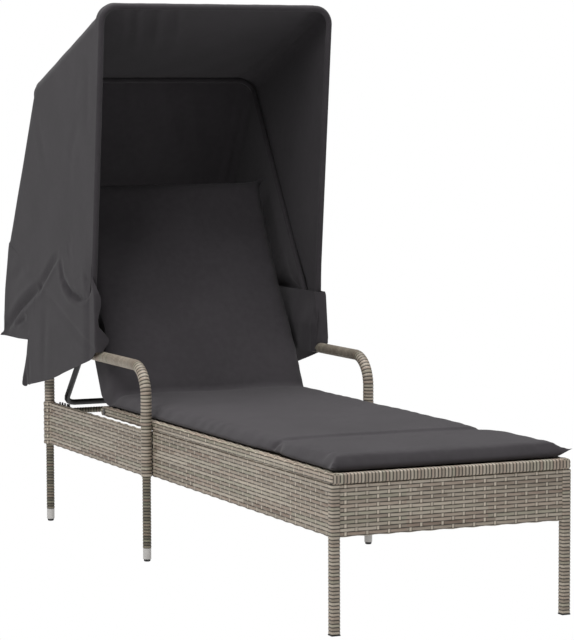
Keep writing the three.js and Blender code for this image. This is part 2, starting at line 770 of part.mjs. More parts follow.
function cushion(start, end, low, seam) {
  const length = end - start;
  const shoulder = cushionThickness - cushionCrown;
  const edge = cushionThickness * cushionEdgeShare;
  const endSteps = cushionRounding.map((share) => share * cushionThickness);
  const seamRows = seam ? [-2, -1, -0.5, 0, 0.5, 1, 2].map((k) => seam + k * cushionSeamWidth) : [];
  const inside = seam
    ? [...spread(4, start + 2 * cushionThickness, seam - 4 * cushionSeamWidth), ...seamRows,
      ...spread(8, seam + 4 * cushionSeamWidth, end - 2 * cushionThickness)]
    : spread(10, start + 2 * cushionThickness, end - 2 * cushionThickness);
  const alongs = [...endSteps.map((d) => start + d), ...inside, ...endSteps.map((d) => end - d).reverse()];
  const acrosses = [
    ...endSteps.map((d) => -cushionHalfWidth + d),
    ...spread(6, -cushionHalfWidth + 3 * cushionThickness, cushionHalfWidth - 3 * cushionThickness),
    ...endSteps.map((d) => cushionHalfWidth - d).reverse(),
  ];
  const rounding = (distance) => {
    const share = Math.min(distance / cushionThickness, 1);
    return Math.sqrt(1 - (1 - share) ** 2);
  };
  const top = [];
  const bottom = [];
  for (const y of alongs) {
    const v = (2 * (y - start)) / length - 1;
    const topRow = [];
    const bottomRow = [];
    for (const x of acrosses) {
      const u = x / cushionHalfWidth;
      const inX = 1 - (cushionDrawIn / cushionHalfWidth) * (1 - v ** crownAlong) * Math.min(1, length / cushionHalfWidth);
      const inY = (cushionDrawIn / length) * (1 - u ** drawInAcross);
      const px = x * inX;
      const py = start + length / 2 + (v * length * (1 - 2 * inY)) / 2;
      const round = rounding(Math.min(cushionHalfWidth - Math.abs(x), y - start, end - y));
      const crown = cushionCrown * (1 - u ** crownAcross) * (1 - v ** crownAlong);
      const groove = seam ? cushionSeamDepth * Math.exp(-(((y - seam) / cushionSeamWidth) ** 2)) : 0;
      topRow.push([px, py, low + edge + (shoulder - edge) * round + crown * round - groove * round]);
      bottomRow.push([px, py, low + edge - edge * Math.min(1, round * cushionUnderRound)]);
    }
    top.push(topRow);
    bottom.push(bottomRow);
  }
  return pillowSolid(top, bottom);
}

// A closed form between a top and a bottom grid that meet along their rim.
function pillowSolid(top, bottom) {
  const rows = top.length;
  const cols = top[0].length;
  const positions = [];
  const index = [];
  const ids = [top, bottom].map((grid, side) => grid.map((row, i) => row.map((point, j) => {
    const onRim = i === 0 || j === 0 || i === rows - 1 || j === cols - 1;
    if (side === 1 && onRim) return null;
    positions.push(...point);
    return positions.length / 3 - 1;
  })));
  const at = (side, i, j) => ids[side][i][j] ?? ids[0][i][j];
  for (let i = 0; i < rows - 1; i += 1) {
    for (let j = 0; j < cols - 1; j += 1) {
      index.push(at(0, i, j), at(0, i, j + 1), at(0, i + 1, j + 1));
      index.push(at(0, i, j), at(0, i + 1, j + 1), at(0, i + 1, j));
      index.push(at(1, i, j), at(1, i + 1, j + 1), at(1, i, j + 1));
      index.push(at(1, i, j), at(1, i + 1, j), at(1, i + 1, j + 1));
    }
  }
  const geometry = new THREE.BufferGeometry();
  geometry.setAttribute('position', new THREE.Float32BufferAttribute(positions, 3));
  geometry.setIndex(index);
  geometry.computeVertexNormals();
  return geometry;
}

addMesh('seat_cushion', cushion(cushionFront, cushionRear, seatTop + seatGap, cushionSeamY), cushionCloth);
addMesh('backrest_cushion', cushion(
  backCushionStart, backCushionEnd, rimHeight / 2 + seatGap, 0,
), cushionCloth, backrest);

// Canopy brackets: a saddle on each armrest with an ear that carries the bows' pivot bolt.
function canopyBracket() {
  const armZ = hoopTop - hoopRadius;
  const front = bowPivotY - bracketLength / 2;
  const rear = bowPivotY + bracketLength / 2;
  const earInner = bowStackInner - bowTabGap - bracketThickness;
  const band = rodY(hoopRadius + seatGap + bracketBand, front, rear, hoopX, armZ);
  const lowerHalf = new THREE.BoxGeometry(hoopRadius * 4, bracketLength * 2, hoopRadius * 3)
    .translate(hoopX, bowPivotY, armZ - (hoopRadius * 3) / 2);
  const ear = new THREE.Shape();
  ear.moveTo(bowPivotY - bracketEarRadius, armZ);
  ear.lineTo(bowPivotY + bracketEarRadius, armZ);
  ear.absarc(bowPivotY, bowPivotZ, bracketEarRadius, 0, Math.PI);
  const earPlate = alongX(ear, earInner, earInner + bracketThickness, 6);
  const armBore = rodY(hoopRadius + seatGap, front - cutOverrun, rear + cutOverrun, hoopX, armZ);
  const boltHole = rodX(
    bowBoltRadius + boltClearance, earInner - cutOverrun, bowStackInner, bowPivotY, bowPivotZ,
  );
  return cut(join(band, earPlate), lowerHalf, armBore, boltHole);
}

addMesh('right_canopy_bracket', canopyBracket(), blackPlastic);
addMesh('left_canopy_bracket', mirrored(canopyBracket()), blackPlastic);

const bowLayers = Object.keys(bows).length;
const stackOuter = bowStackInner + bowLayers * bowTabThickness + (bowLayers - 1) * bowTabGap;
const earInside = bowStackInner - bowTabGap - bracketThickness;
const pivotBolt = headedBolt(
  bowBoltRadius, bowBoltHeadRadius, bowBoltHeadHeight,
  earInside - bowNutHeight - 2 * seatGap, stackOuter + bowTabGap, bowPivotY, bowPivotZ,
);
const pivotNut = nut(
  bowNutRadius, bowBoltRadius + boltClearance / 2,
  earInside - bowNutHeight - seatGap, earInside - seatGap, bowPivotY, bowPivotZ,
);
addMesh('right_canopy_pivot_bolt', pivotBolt, zincSteel);
addMesh('left_canopy_pivot_bolt', mirrored(pivotBolt), zincSteel);
addMesh('right_canopy_pivot_nut', pivotNut, zincSteel);
addMesh('left_canopy_pivot_nut', mirrored(pivotNut), zincSteel);

// Canopy bows: a bent tube with flat tabs at its ends. The tabs lie side by side on one bolt.
function canopyBow({ length, layer }) {
  const tube = bentTube([
    [-bowHalfWidth, bowTubeStart, 0], [-bowHalfWidth, length, 0],
    [bowHalfWidth, length, 0], [bowHalfWidth, bowTubeStart, 0],
  ], bowCorner, bowRadius, bowRadius - bowWall, 5, 10);
  const inner = bowStackInner + layer * (bowTabThickness + bowTabGap);
  const half = bowTabHeight / 2;
  const tabShape = new THREE.Shape();
  tabShape.moveTo(bowTubeStart + bowTabOverlap, -bowRadius / 2);
  tabShape.lineTo(bowTubeStart + bowTabOverlap, bowRadius / 2);
  tabShape.lineTo(bowTubeStart, half);
  tabShape.lineTo(0, half);
  tabShape.absarc(0, 0, half, Math.PI / 2, Math.PI * 1.5);
  tabShape.lineTo(bowTubeStart, -half);
  const tab = alongX(tabShape, inner, inner + bowTabThickness, 6);
  const hole = rodX(
    bowBoltRadius + boltClearance, -stackOuter - cutOverrun, stackOuter + cutOverrun, 0, 0,
  );
  return cut(join(tube, tab, mirrored(tab)), hole);
}

for (const [name, bow] of Object.entries(bows)) {
  const group = new THREE.Group();
  group.position.set(0, bowPivotY, bowPivotZ);
  group.rotation.x = bow.angle;
  lounger.add(group);
  addMesh(`${name}_bow`, canopyBow(bow), blackSteel, group);
}

// Canopy fabric. Across a bow the cloth runs from the left side over the top to the right; each
// station is a place on the bow's outline, held off the tube by the given distance.
function bowStations(bow, off) {
  const straight = bow.length - bowCorner;
  const side = spread(6, fabricStart, straight).map((r) => [bowHalfWidth + off, r]);
  const corner = spread(5, 0, Math.PI / 2).slice(1).map((angle) => [
    bowHalfWidth - bowCorner + (bowCorner + off) * Math.cos(angle),
    straight + (bowCorner + off) * Math.sin(angle),
  ]);
  const across = spread(4, bowHalfWidth - bowCorner, 0).slice(1).map((x) => [x, bow.length + off]);
  const half = [...side, ...corner, ...across];
  const rightHalf = half.slice(0, -1).reverse();
  return [...half.map(([x, r]) => [-x, r]), ...rightHalf];
}

function bowPoint(bow, [x, r], shift) {
  return [
    x,
    bowPivotY + r * Math.cos(bow.angle) - shift * Math.sin(bow.angle),
    bowPivotZ + r * Math.sin(bow.angle) + shift * Math.cos(bow.angle),
  ];
}

// A panel between two bows: a straight pull between them that sags towards the pivot, most in
// the middle of the roof.
function canopyPanel(lowBow, highBow) {
  const grids = [fabricOverBow, fabricOverBow + fabricThickness].map((off) => {
    const lows = bowStations(lowBow, off).map((station) => bowPoint(lowBow, station, seatGap / 2));
    const highs = bowStations(highBow, off).map((station) => bowPoint(highBow, station, -seatGap / 2));
    return lows.map((low, i) => {
      const high = highs[i];
      return spread(6, 0, 1).map((t) => {
        const point = low.map((value, axis) => value + (high[axis] - value) * t);
        const overRoof = 1 - Math.min(1, (Math.abs(point[0]) / bowHalfWidth) ** 4);
        const sag = fabricSag * 4 * t * (1 - t) * overRoof;
        const away = new THREE.Vector2(point[1] - bowPivotY, point[2] - bowPivotZ).normalize();
        return [point[0], point[1] - sag * away.x, point[2] - sag * away.y];
      });
    });
  });
  return sheetSolid(grids[0], grids[1]);
}

addMesh('canopy_front_panel', canopyPanel(bows.middle, bows.front), canopyCloth);
addMesh('canopy_rear_panel', canopyPanel(bows.rear, bows.middle), canopyCloth);

// The curtain hangs from the rear bow: down both sides, where it ends in a longer tail beside
// each armrest, and across the back. Its folds grow towards the hem.
function canopyCurtain() {
  const bow = bows.rear;
  const reach = (bow.length + fabricOverBow) * Math.cos(bow.angle);
  const columns = [];
  skirtColumnShares.forEach(([top, hem, drop], k) => {
    columns.push({ top, hem, drop });
    const next = skirtColumnShares[k + 1];
    if (!next || next[0] - top < columnStep) return;
    for (const t of [1 / 3, 2 / 3]) {
      columns.push({
        top: top + (next[0] - top) * t, hem: hem + (next[1] - hem) * t, drop: drop + (next[2] - drop) * t,
      });
    }
  });
  const hemDrop = skirtColumnShares.at(-1)[2] * tailDrop;
  const straight = bow.length - bowCorner;
  const rows = spread(5, 0, 1);
  const flareAt = (t) => t ** flarePower;
  const half = (off) => {
    const side = columns.map(({ top, hem, drop }) => {
      const along = (top * reach) / Math.cos(bow.angle);
      const [x, y, z] = bowPoint(bow, [bowHalfWidth + off, along], -seatGap / 2);
      const hemY = bowPivotY + hem * reach;
      const hemZ = bowPivotZ - drop * tailDrop;
      const fold = curtainFoldDepth * Math.max(0, top) * (0.5 - 0.5 * Math.cos(top * Math.PI * sideFoldTurns));
      return rows.map((t) => [
        x + skirtFlare * flareAt(t) + fold * t * t, y + (hemY - y) * t, z + (hemZ - z) * t,
      ]);
    });
    const corner = spread(6, 0, Math.PI / 2).map((angle) => ({
      station: [
        bowHalfWidth - bowCorner + (bowCorner + off) * Math.cos(angle),
        straight + (bowCorner + off) * Math.sin(angle),
      ],
      out: [Math.cos(angle), Math.sin(angle)],
      turn: angle / (Math.PI / 2),
    }));
    const back = spread(6, bowHalfWidth - bowCorner, 0).slice(1).map((x) => ({
      station: [x, bow.length + off], out: [0, 1], turn: 1,
    }));
    const rear = [...corner, ...back].map(({ station, out, turn }) => {
      const [x, y, z] = bowPoint(bow, station, -seatGap / 2);
      const wave = 0.5 - 0.5 * Math.cos((station[0] / bowHalfWidth) * Math.PI * backFoldTurns);
      const flare = skirtFlare + (curtainFlare - skirtFlare) * turn - curtainFoldDepth * turn * wave;
      return rows.map((t) => [
        x + out[0] * skirtFlare * flareAt(t),
        y + (out[1] * flare + (1 - turn) * skirtFlare) * t,
        z + (bowPivotZ - hemDrop - z) * t,
      ]);
    });
    return [...side, ...rear];
  };
  const grid = (off) => {
    const right = half(off);
    const left = right.map((column) => column.map(([x, y, z]) => [-x, y, z]));
    return [...right, ...left.slice(0, -1).reverse()];
  };
  return sheetSolid(grid(fabricOverBow), grid(fabricOverBow + fabricThickness));
}

addMesh('canopy_curtain', canopyCurtain(), canopyCloth);

// The origin is on the floor under the middle of the whole lounger.
const reachBox = new THREE.Box3().setFromObject(lounger, true);
lounger.position.y = -(reachBox.min.y + reachBox.max.y) / 2;

export default lounger;
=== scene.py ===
import json
import math

import bpy
import numpy as np
from mathutils import Matrix, Vector


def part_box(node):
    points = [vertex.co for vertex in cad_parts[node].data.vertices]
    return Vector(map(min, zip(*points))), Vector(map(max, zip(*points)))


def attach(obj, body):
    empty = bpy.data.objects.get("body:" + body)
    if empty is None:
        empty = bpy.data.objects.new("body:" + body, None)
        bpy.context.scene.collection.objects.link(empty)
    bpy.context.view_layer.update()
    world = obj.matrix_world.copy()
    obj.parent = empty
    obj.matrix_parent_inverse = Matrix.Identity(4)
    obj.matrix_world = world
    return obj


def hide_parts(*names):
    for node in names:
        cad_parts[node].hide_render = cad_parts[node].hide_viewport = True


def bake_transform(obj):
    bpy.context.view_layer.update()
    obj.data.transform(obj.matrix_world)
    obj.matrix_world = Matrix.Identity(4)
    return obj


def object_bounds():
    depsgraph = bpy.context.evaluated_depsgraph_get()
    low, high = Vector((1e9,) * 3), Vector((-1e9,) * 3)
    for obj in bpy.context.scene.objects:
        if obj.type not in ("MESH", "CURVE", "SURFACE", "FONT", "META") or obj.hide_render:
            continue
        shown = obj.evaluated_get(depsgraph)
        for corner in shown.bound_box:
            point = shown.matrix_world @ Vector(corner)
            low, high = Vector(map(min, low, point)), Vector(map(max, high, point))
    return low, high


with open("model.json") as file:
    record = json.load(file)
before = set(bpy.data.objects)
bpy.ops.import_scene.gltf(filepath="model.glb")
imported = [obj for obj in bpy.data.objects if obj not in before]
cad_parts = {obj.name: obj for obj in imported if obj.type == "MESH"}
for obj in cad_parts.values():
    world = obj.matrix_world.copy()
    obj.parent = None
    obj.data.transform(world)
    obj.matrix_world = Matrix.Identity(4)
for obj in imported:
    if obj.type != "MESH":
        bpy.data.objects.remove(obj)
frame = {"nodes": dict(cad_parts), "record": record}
cadBox = [list(map(float, corner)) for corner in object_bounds()]
footEnd = cadBox[0][1]  # lounger lengths below count from here towards the head end
print("scene: frame loaded")

# The photograph's camera: focal length in pixels of its frame, place, and turns in degrees
view = {
    "framePixels": (574, 640), "focalPixels": 2722.7, "sensor": 0.036,
    "place": (-2.7985, -6.3862, 1.1788), "yaw": 24.286, "pitch": -4.729, "roll": -0.167,
}


def aimCamera(v):
    data = bpy.data.cameras.new("camera")
    data.sensor_fit = "AUTO"
    data.sensor_width = v["sensor"] * 1000
    data.lens = v["focalPixels"] * v["sensor"] * 1000 / max(v["framePixels"])
    data.clip_end = 100
    cam = bpy.data.objects.new("camera", data)
    bpy.context.scene.collection.objects.link(cam)
    yaw, pitch = math.radians(v["yaw"]), math.radians(v["pitch"])
    forward = Vector((math.sin(yaw) * math.cos(pitch), math.cos(yaw) * math.cos(pitch), math.sin(pitch)))
    turn = forward.to_track_quat("-Z", "Y").to_matrix().to_4x4()
    cam.matrix_world = Matrix.Translation(v["place"]) @ turn @ Matrix.Rotation(math.radians(v["roll"]), 4, "Z")
    bpy.context.scene.camera = cam


aimCamera(view)


# Meshes from arrays

def linear(colour):
    c = np.asarray(colour, float) / 255
    low = c / 12.92
    high = ((c + 0.055) / 1.055) ** 2.4
    return tuple(np.where(c <= 0.04045, low, high)) + (1.0,)


def linkMesh(name, points, faces, uvs=None, smooth=62):
    # uvs holds one pair for each corner of each face, in the faces' order; edges that turn more
    # than smooth degrees stay sharp
    mesh = bpy.data.meshes.new(name)
    mesh.from_pydata(np.asarray(points, float).reshape(-1, 3).tolist(), [], faces)
    if uvs is not None:
        layer = mesh.uv_layers.new(name="strands")
        layer.data.foreach_set("uv", np.asarray(uvs, np.float32).ravel())
    mesh.validate()
    mesh.update()
    if smooth:
        mesh.polygons.foreach_set("use_smooth", np.ones(len(mesh.polygons), bool))
        mesh.set_sharp_from_angle(angle=math.radians(smooth))
    obj = bpy.data.objects.new(name, mesh)
    bpy.context.scene.collection.objects.link(obj)
    return obj


def gridShell(grid, uv):
    # Points, faces, corner pairs and signed volume of a grid (along, around, 3). It closes on itself
    # around, and flat caps close its two ends.
    nu, nv = grid.shape[:2]
    i, j = np.meshgrid(np.arange(nu - 1), np.arange(nv), indexing="ij")
    i, j = i.ravel(), j.ravel()
    corners = [(i, j), (i, j + 1), (i + 1, j + 1), (i + 1, j)]
    faces = np.stack([a * nv + b % nv for a, b in corners], 1)
    pairs = np.stack([uv[a, b] for a, b in corners], 1).reshape(-1, 2)
    points = grid.reshape(-1, 3)
    quad = points[faces] - points.mean(0)
    # six times the volume: each triangle's first corner dotted with the cross product of the others
    volume = sum(np.sum(quad[:, 0] * np.cross(quad[:, k], quad[:, k + 1])) for k in (1, 2))
    ends = [list(range(nv))[::-1], [(nu - 1) * nv + k for k in range(nv)]]
    return points, faces.tolist() + ends, np.concatenate([pairs, uv[0, :nv][::-1], uv[-1, :nv]]), volume


def addShell(name, shells, smooth=62):
    # several shells in one object, each turned to face outwards
    points, faces, pairs, start = [], [], [], 0
    for shellPoints, shellFaces, shellPairs, volume in shells:
        points.append(shellPoints)
        if volume < 0:
            at = 0
            turned = []
            for face in shellFaces:
                turned.append(shellPairs[at:at + len(face)][::-1])
                at += len(face)
            shellPairs = np.concatenate(turned)
            shellFaces = [face[::-1] for face in shellFaces]
        faces += [[k + start for k in face] for face in shellFaces]
        pairs.append(shellPairs)
        start += len(shellPoints)
    return linkMesh(name, np.concatenate(points), faces, np.concatenate(pairs), smooth)


def resample(points, count, closed=True):
    # the same outline with its points at even steps
    p = np.asarray(points, float)
    if closed:
        p = np.vstack([p, p[:1]])
    step = np.linalg.norm(np.diff(p, axis=0), axis=1)
    s = np.concatenate([[0], np.cumsum(step)])
    wanted = np.linspace(0, s[-1], count + 1)[:-1] if closed else np.linspace(0, s[-1], count)
    return np.stack([np.interp(wanted, s, p[:, k]) for k in range(p.shape[1])], 1), s[-1]


def roundedRect(width, height, radius, steps=5):
    # counter-clockwise from the middle of the right side
    turn = np.linspace(0, math.pi / 2, steps)
    parts = []
    for k, (sx, sy) in enumerate([(1, 1), (-1, 1), (-1, -1), (1, -1)]):
        a = turn + k * math.pi / 2
        parts.append(np.stack([
            sx * (width / 2 - radius) + radius * np.cos(a), sy * (height / 2 - radius) + radius * np.sin(a),
        ], 1))
    p = np.concatenate(parts)
    return np.vstack([[width / 2, 0], p])


def circle(radius, count):
    a = np.linspace(0, 2 * math.pi, count, endpoint=False)
    return np.stack([radius * np.cos(a), radius * np.sin(a)], 1)


def outward(profile):
    # unit normals of a closed counter-clockwise outline
    t = np.roll(profile, -1, 0) - np.roll(profile, 1, 0)
    n = np.stack([t[:, 1], -t[:, 0]], 1)
    return n / np.linalg.norm(n, axis=1, keepdims=True)


def sweep(profile, centres, aAxes, bAxes, height):
    # profile (nv, 2) is carried through the stations; height (nu, nv) lifts it off itself
    normal = outward(profile)
    p = profile[None] + height[..., None] * normal[None]
    return centres[:, None] + p[..., :1] * aAxes[:, None] + p[..., 1:] * bAxes[:, None]


def straight(start, end, aAxis, bAxis, t):
    # stations at the shares t of a straight run, all with the same two axes
    t = t[:, None]
    ones = np.ones_like(t)
    centres = (1 - t) * np.asarray(start, float) + t * np.asarray(end, float)
    return centres, ones * np.asarray(aAxis, float), ones * np.asarray(bAxis, float)


# Wicker: flat strands that either wrap a tube side by side or go over and under stakes
wicker = {
    "wrapPitch": 0.0086, "legPitch": 0.008, "rowPitch": 0.0089, "stakePitch": 0.027, "stakeHalf": 0.1,
    "strandRise": 0.0011, "stakeRise": 0.0008, "wrapSamples": 4, "rowSamples": 4,
    "stakeSamples": (-0.5, -0.32, -0.17, -0.1, -0.05, 0.05, 0.1, 0.17, 0.32),
}


def strandSection(f):
    # a flat strand's height across its width, 0 at its edges and 1 in its middle
    return 1 - np.abs(2 * f - 1) ** 3.5


def wrapHeight(turns):
    return wicker["strandRise"] * strandSection(turns - np.floor(turns))


def weaveHeight(stakes, rows):
    # A strand rises over every second stake and dips under the ones between. Where it dips, the
    # stake shows.
    row = np.floor(rows + 1e-6)
    over = np.cos(math.pi * (stakes + row))
    strand = wicker["strandRise"] * strandSection(rows - row) + wicker["stakeRise"] * over
    near = np.abs(stakes - np.round(stakes)) / wicker["stakeHalf"]
    stake = wicker["stakeRise"] * (1.15 - near ** 2) * -over
    return np.maximum(strand, np.where(near < 1.1, stake, -1)) + wicker["stakeRise"] * 0.4


def crossed(u, v):
    # a grid of coordinate pairs, one for each u with each v
    return np.stack(np.broadcast_arrays(u[:, None], v[None]), -1)


def turnsOf(length, pitch):
    # whole turns of a wrap, and the stations that they take
    turns = round(length / pitch)
    return turns, turns * wicker["wrapSamples"] + 1


def wrapTube(profile, stations, length, pitch):
    # turns run round the tube; v counts them along it
    turns = np.linspace(0, turnsOf(length, pitch)[0], len(stations[0]))
    height = wrapHeight(turns)[:, None] * np.ones((1, len(profile))) - wicker["strandRise"]
    around = np.linspace(0, 1, len(profile) + 1)
    return gridShell(sweep(profile, *stations, height), crossed(turns, around)[..., ::-1])


def straightWrap(start, end, aAxis, bAxis, profile, pitch):
    length = float(np.linalg.norm(np.subtract(end, start)))
    shares = np.linspace(0, 1, turnsOf(length, pitch)[1])
    return wrapTube(profile, straight(start, end, aAxis, bAxis, shares), length, pitch)


def stakeStations(stakes):
    # positions along a woven strip, counted in stakes, close together where strands cross a stake
    return (np.arange(stakes)[:, None] + np.asarray(wicker["stakeSamples"])[None] + 0.5).ravel()


def weaveAlong(start, end, aAxis, bAxis, outline, rowPitch=wicker["rowPitch"], stakePitch=wicker["stakePitch"]):
    # strands run from start to end, side by side round the outline, over stakes that go round it
    length = float(np.linalg.norm(np.subtract(end, start)))
    rows = 2 * round(resample(outline, 2)[1] / rowPitch / 2)
    nv = rows * wicker["rowSamples"]
    stakes = max(1, round(length / stakePitch))
    u = np.append(stakeStations(stakes), stakes)
    v = np.arange(nv + 1) / wicker["rowSamples"]
    height = weaveHeight(u[:, None] + 0.5, v[None, :nv]) - wicker["strandRise"]
    grid = sweep(resample(outline, nv)[0], *straight(start, end, aAxis, bAxis, u / stakes), height)
    return gridShell(grid, crossed(u + 0.5, v))


def bentPath(corners, bend, step):
    # points along straight runs joined by arcs of one radius, at even steps
    c = [np.asarray(p, float) for p in corners]
    pieces = [c[0][None]]
    for before, here, after in zip(c, c[1:], c[2:]):
        a = (here - before) / np.linalg.norm(here - before)
        b = (after - here) / np.linalg.norm(after - here)
        turn = math.acos(np.clip(a @ b, -1, 1))
        start = here - a * bend * math.tan(turn / 2)
        side = b - a * (a @ b)
        side = side / np.linalg.norm(side)
        w = np.linspace(0, turn, 24)[:, None]
        pieces.append(start + bend * (np.sin(w) * a + (1 - np.cos(w)) * side))
    pieces.append(c[-1][None])
    points = np.concatenate(pieces)
    total = np.linalg.norm(np.diff(points, axis=0), axis=1).sum()
    return resample(points, max(2, int(round(total / step)) + 1), closed=False)


def framesAlong(points, sideways):
    # sideways is square to the whole path, so the frames never twist
    t = np.gradient(points, axis=0)
    t /= np.linalg.norm(t, axis=1, keepdims=True)
    a = np.ones((len(points), 1)) * np.asarray(sideways, float)
    return points, a, np.cross(t, a)


# Shader maths

class Wire:
    # a number in a material; Python's operators add its Math nodes
    def __init__(self, finish, socket):
        self.finish, self.socket = finish, socket

    def maths(self, operation, *others):
        return self.finish.node("ShaderNodeMath", {"operation": operation}, dict(enumerate([self, *others])))

    def __add__(self, other):
        return self.maths("ADD", other)

    def __sub__(self, other):
        return self.maths("SUBTRACT", other)

    def __rsub__(self, other):
        return self.finish.node("ShaderNodeMath", {"operation": "SUBTRACT"}, {0: other, 1: self})

    def __mul__(self, other):
        return self.maths("MULTIPLY", other)

    __radd__ = __add__
    __rmul__ = __mul__

    def floor(self):
        return self.maths("FLOOR")

    def fraction(self):
        return self.maths("FRACT")

    def size(self):
        return self.maths("ABSOLUTE")

    def wave(self):
        return self.maths("SINE")

    def above(self, edge):
        return self.maths("GREATER_THAN", edge)

    def ramp(self, low, high):
        # 0 below low, 1 above high, smooth between
        return self.finish.node("ShaderNodeMapRange", {"interpolation_type": "SMOOTHSTEP"}, {
            "Value": self, "From Min": low, "From Max": high,
        })


class Finish:
    def __init__(self, name, **shader):
        self.material = bpy.data.materials.new(name)
        self.material.use_nodes = True
        self.tree = self.material.node_tree
        self.shader = self.tree.nodes["Principled BSDF"]
        for socket, value in shader.items():
            self.shader.inputs[socket.replace("_", " ")].default_value = value

    def node(self, kind, settings=None, sockets=None, output=0):
        node = self.tree.nodes.new(kind)
        for key, value in (settings or {}).items():
            if key == "stops":
                ramp = node.color_ramp
                while len(ramp.elements) < len(value):
                    ramp.elements.new(0.5)
                for element, (place, colour) in zip(ramp.elements, value):
                    element.position, element.color = place, colour
            else:
                setattr(node, key, value)
        for key, value in (sockets or {}).items():
            self.feed(node.inputs[key], value)
        return Wire(self, node.outputs[output])

    def feed(self, socket, value):
        if isinstance(value, Wire):
            self.tree.links.new(value.socket, socket)
        else:
            socket.default_value = value

    def set(self, socket, value):
        self.feed(self.shader.inputs[socket], value)
        return self

    def objectPlace(self):
        return self.node("ShaderNodeTexCoord", output="Object")

    def split(self, vector):
        x = self.node("ShaderNodeSeparateXYZ", None, {0: vector}, output="X")
        return x, *(Wire(self, x.socket.node.outputs[axis]) for axis in "YZ")

    def uv(self):
        return self.split(self.node("ShaderNodeUVMap", {"uv_map": "strands"}))[:2]

    def vector(self, x, y, z=0.0):
        return self.node("ShaderNodeCombineXYZ", None, {"X": x, "Y": y, "Z": z})

    def dice(self, vector):
        return self.node("ShaderNodeTexWhiteNoise", {"noise_dimensions": "2D"}, {"Vector": vector}, output="Value")

    def noise(self, vector, scale, detail=2.0):
        return self.node("ShaderNodeTexNoise", None, {"Vector": vector, "Scale": scale, "Detail": detail}, output="Fac")

    def mix(self, share, first, second):
        # a colour mix: sockets 6 and 7 take its two colours, and socket 2 gives the result
        return self.node("ShaderNodeMix", {"data_type": "RGBA"}, {0: share, 6: first, 7: second}, output=2)

    def bump(self, height, depth, strength=1.0):
        normal = self.node("ShaderNodeBump", None, {"Height": height, "Distance": depth, "Strength": strength})
        return self.set("Normal", normal)


# Wicker's colours: what differs between woven and wrapped strands, the reddish and greenish casts
# and how much they show, the painted shade in the gaps, and the painted shade on the arms' tops
strandLook = {
    "woven": {"reach": 0.22, "spread": 0.6, "offset": -0.08, "gapFrom": 0.48},
    "wrapped": {"reach": 0.9, "spread": 0.36, "offset": 0.04, "gapFrom": 0.38},
    "casts": ((150, 122, 108), (128, 136, 112)), "cast": 0.3, "gap": 0.93, "ribs": 4, "ribShade": 0.14,
    "wearAndShade": (84, 78, 68), "shadeFrom": 0.484, "shadeTo": 0.50,
}


def wickerFinish(name, light, mid, dark, kind):
    # Each strand has its own shade of the three, drifts a little along its length and carries fine
    # ribs. Painted shade darkens the gaps at its edges and, on woven strands, beside the stakes.
    look, woven = strandLook[kind], kind == "woven"
    f = Finish(name, Roughness=0.5, IOR=1.45)
    along, rows = f.uv()
    row = rows.floor()
    across = rows.fraction()
    drift = f.noise(f.vector(along * look["reach"], row * 3.7), 1.0, 1.0)
    jump = f.dice(f.vector(row + 0.5, (along * 0.09 + row * 0.37).floor() if woven else 0.5))
    tone = jump * look["spread"] + drift * 0.55 + look["offset"]
    colour = f.node("ShaderNodeValToRGB", {"stops": [
        (0.08, linear(dark)), (0.3, linear(mid)), (0.62, linear(light)), (0.9, linear(np.multiply(light, 1.07))),
    ]}, {0: tone}, output="Color")
    hue = f.dice(f.vector(row + 7.5, (along * 0.13).floor() + 3.5))
    red, green = (linear(cast) for cast in strandLook["casts"])
    colour = f.mix(hue.ramp(0.62, 0.9) * strandLook["cast"], colour, red)
    colour = f.mix((1 - hue).ramp(0.7, 0.95) * strandLook["cast"], colour, green)
    # painted shade in the gaps at the strand's edges
    gap = ((across - 0.5).size() * 2).ramp(look["gapFrom"], 0.92)
    if woven:
        stake = (along + 0.5).floor()
        odd = ((row + stake) * 0.5).fraction().above(0.25)
        near = (along - stake).size()
        half = wicker["stakeHalf"]
        shown = odd * (1 - near.above(half))
        stakeTone = f.dice(f.vector(stake + 0.5, 11.5))
        colour = f.mix(shown, colour, f.mix(stakeTone, linear(light), linear(np.multiply(light, 1.15))))
        # painted shade beside a shown stake, where the strand dips under it; less gap shade where the stake shows
        beside = odd * near.ramp(half, half + 0.02) * (1 - near.ramp(0.13, 0.2))
        gap = (gap * (1 - shown * 0.6)).maths("MAXIMUM", beside * 0.75)
    colour = f.mix(gap * strandLook["gap"], colour, linear(np.multiply(dark, 0.25)))
    ribs = (across * (2 * math.pi * strandLook["ribs"])).wave()
    colour = f.mix(ribs.ramp(-1, 1) * strandLook["ribShade"], colour, linear(dark))
    if not woven:
        # painted shade: the arms' tops are greyer where the canopy shades them, most on the right, the shaded side
        x, _, z = f.split(f.objectPlace())
        wearAndShade = z.ramp(strandLook["shadeFrom"], strandLook["shadeTo"]) * (0.3 + x.above(0) * 0.4)
        patches = f.noise(f.vector(along * 0.25, row * 0.25), 1.0, 2.0).ramp(0.3, 0.62)
        colour = f.mix(wearAndShade * (0.55 + patches * 0.45), colour, linear(strandLook["wearAndShade"]))
    f.set("Base Color", colour)
    f.set("Roughness", 0.42 + 0.2 * drift)
    f.bump(ribs * 0.5 + f.noise(f.objectPlace(), 900.0), 0.00012, 0.6)
    return f.material


# Light, middle and dark shade of the pale and the dull strands
palette = {
    "pale": ((180, 170, 155), (154, 142, 128), (112, 102, 89)),
    "dull": ((128, 122, 106), (100, 94, 80), (62, 58, 50)),
}
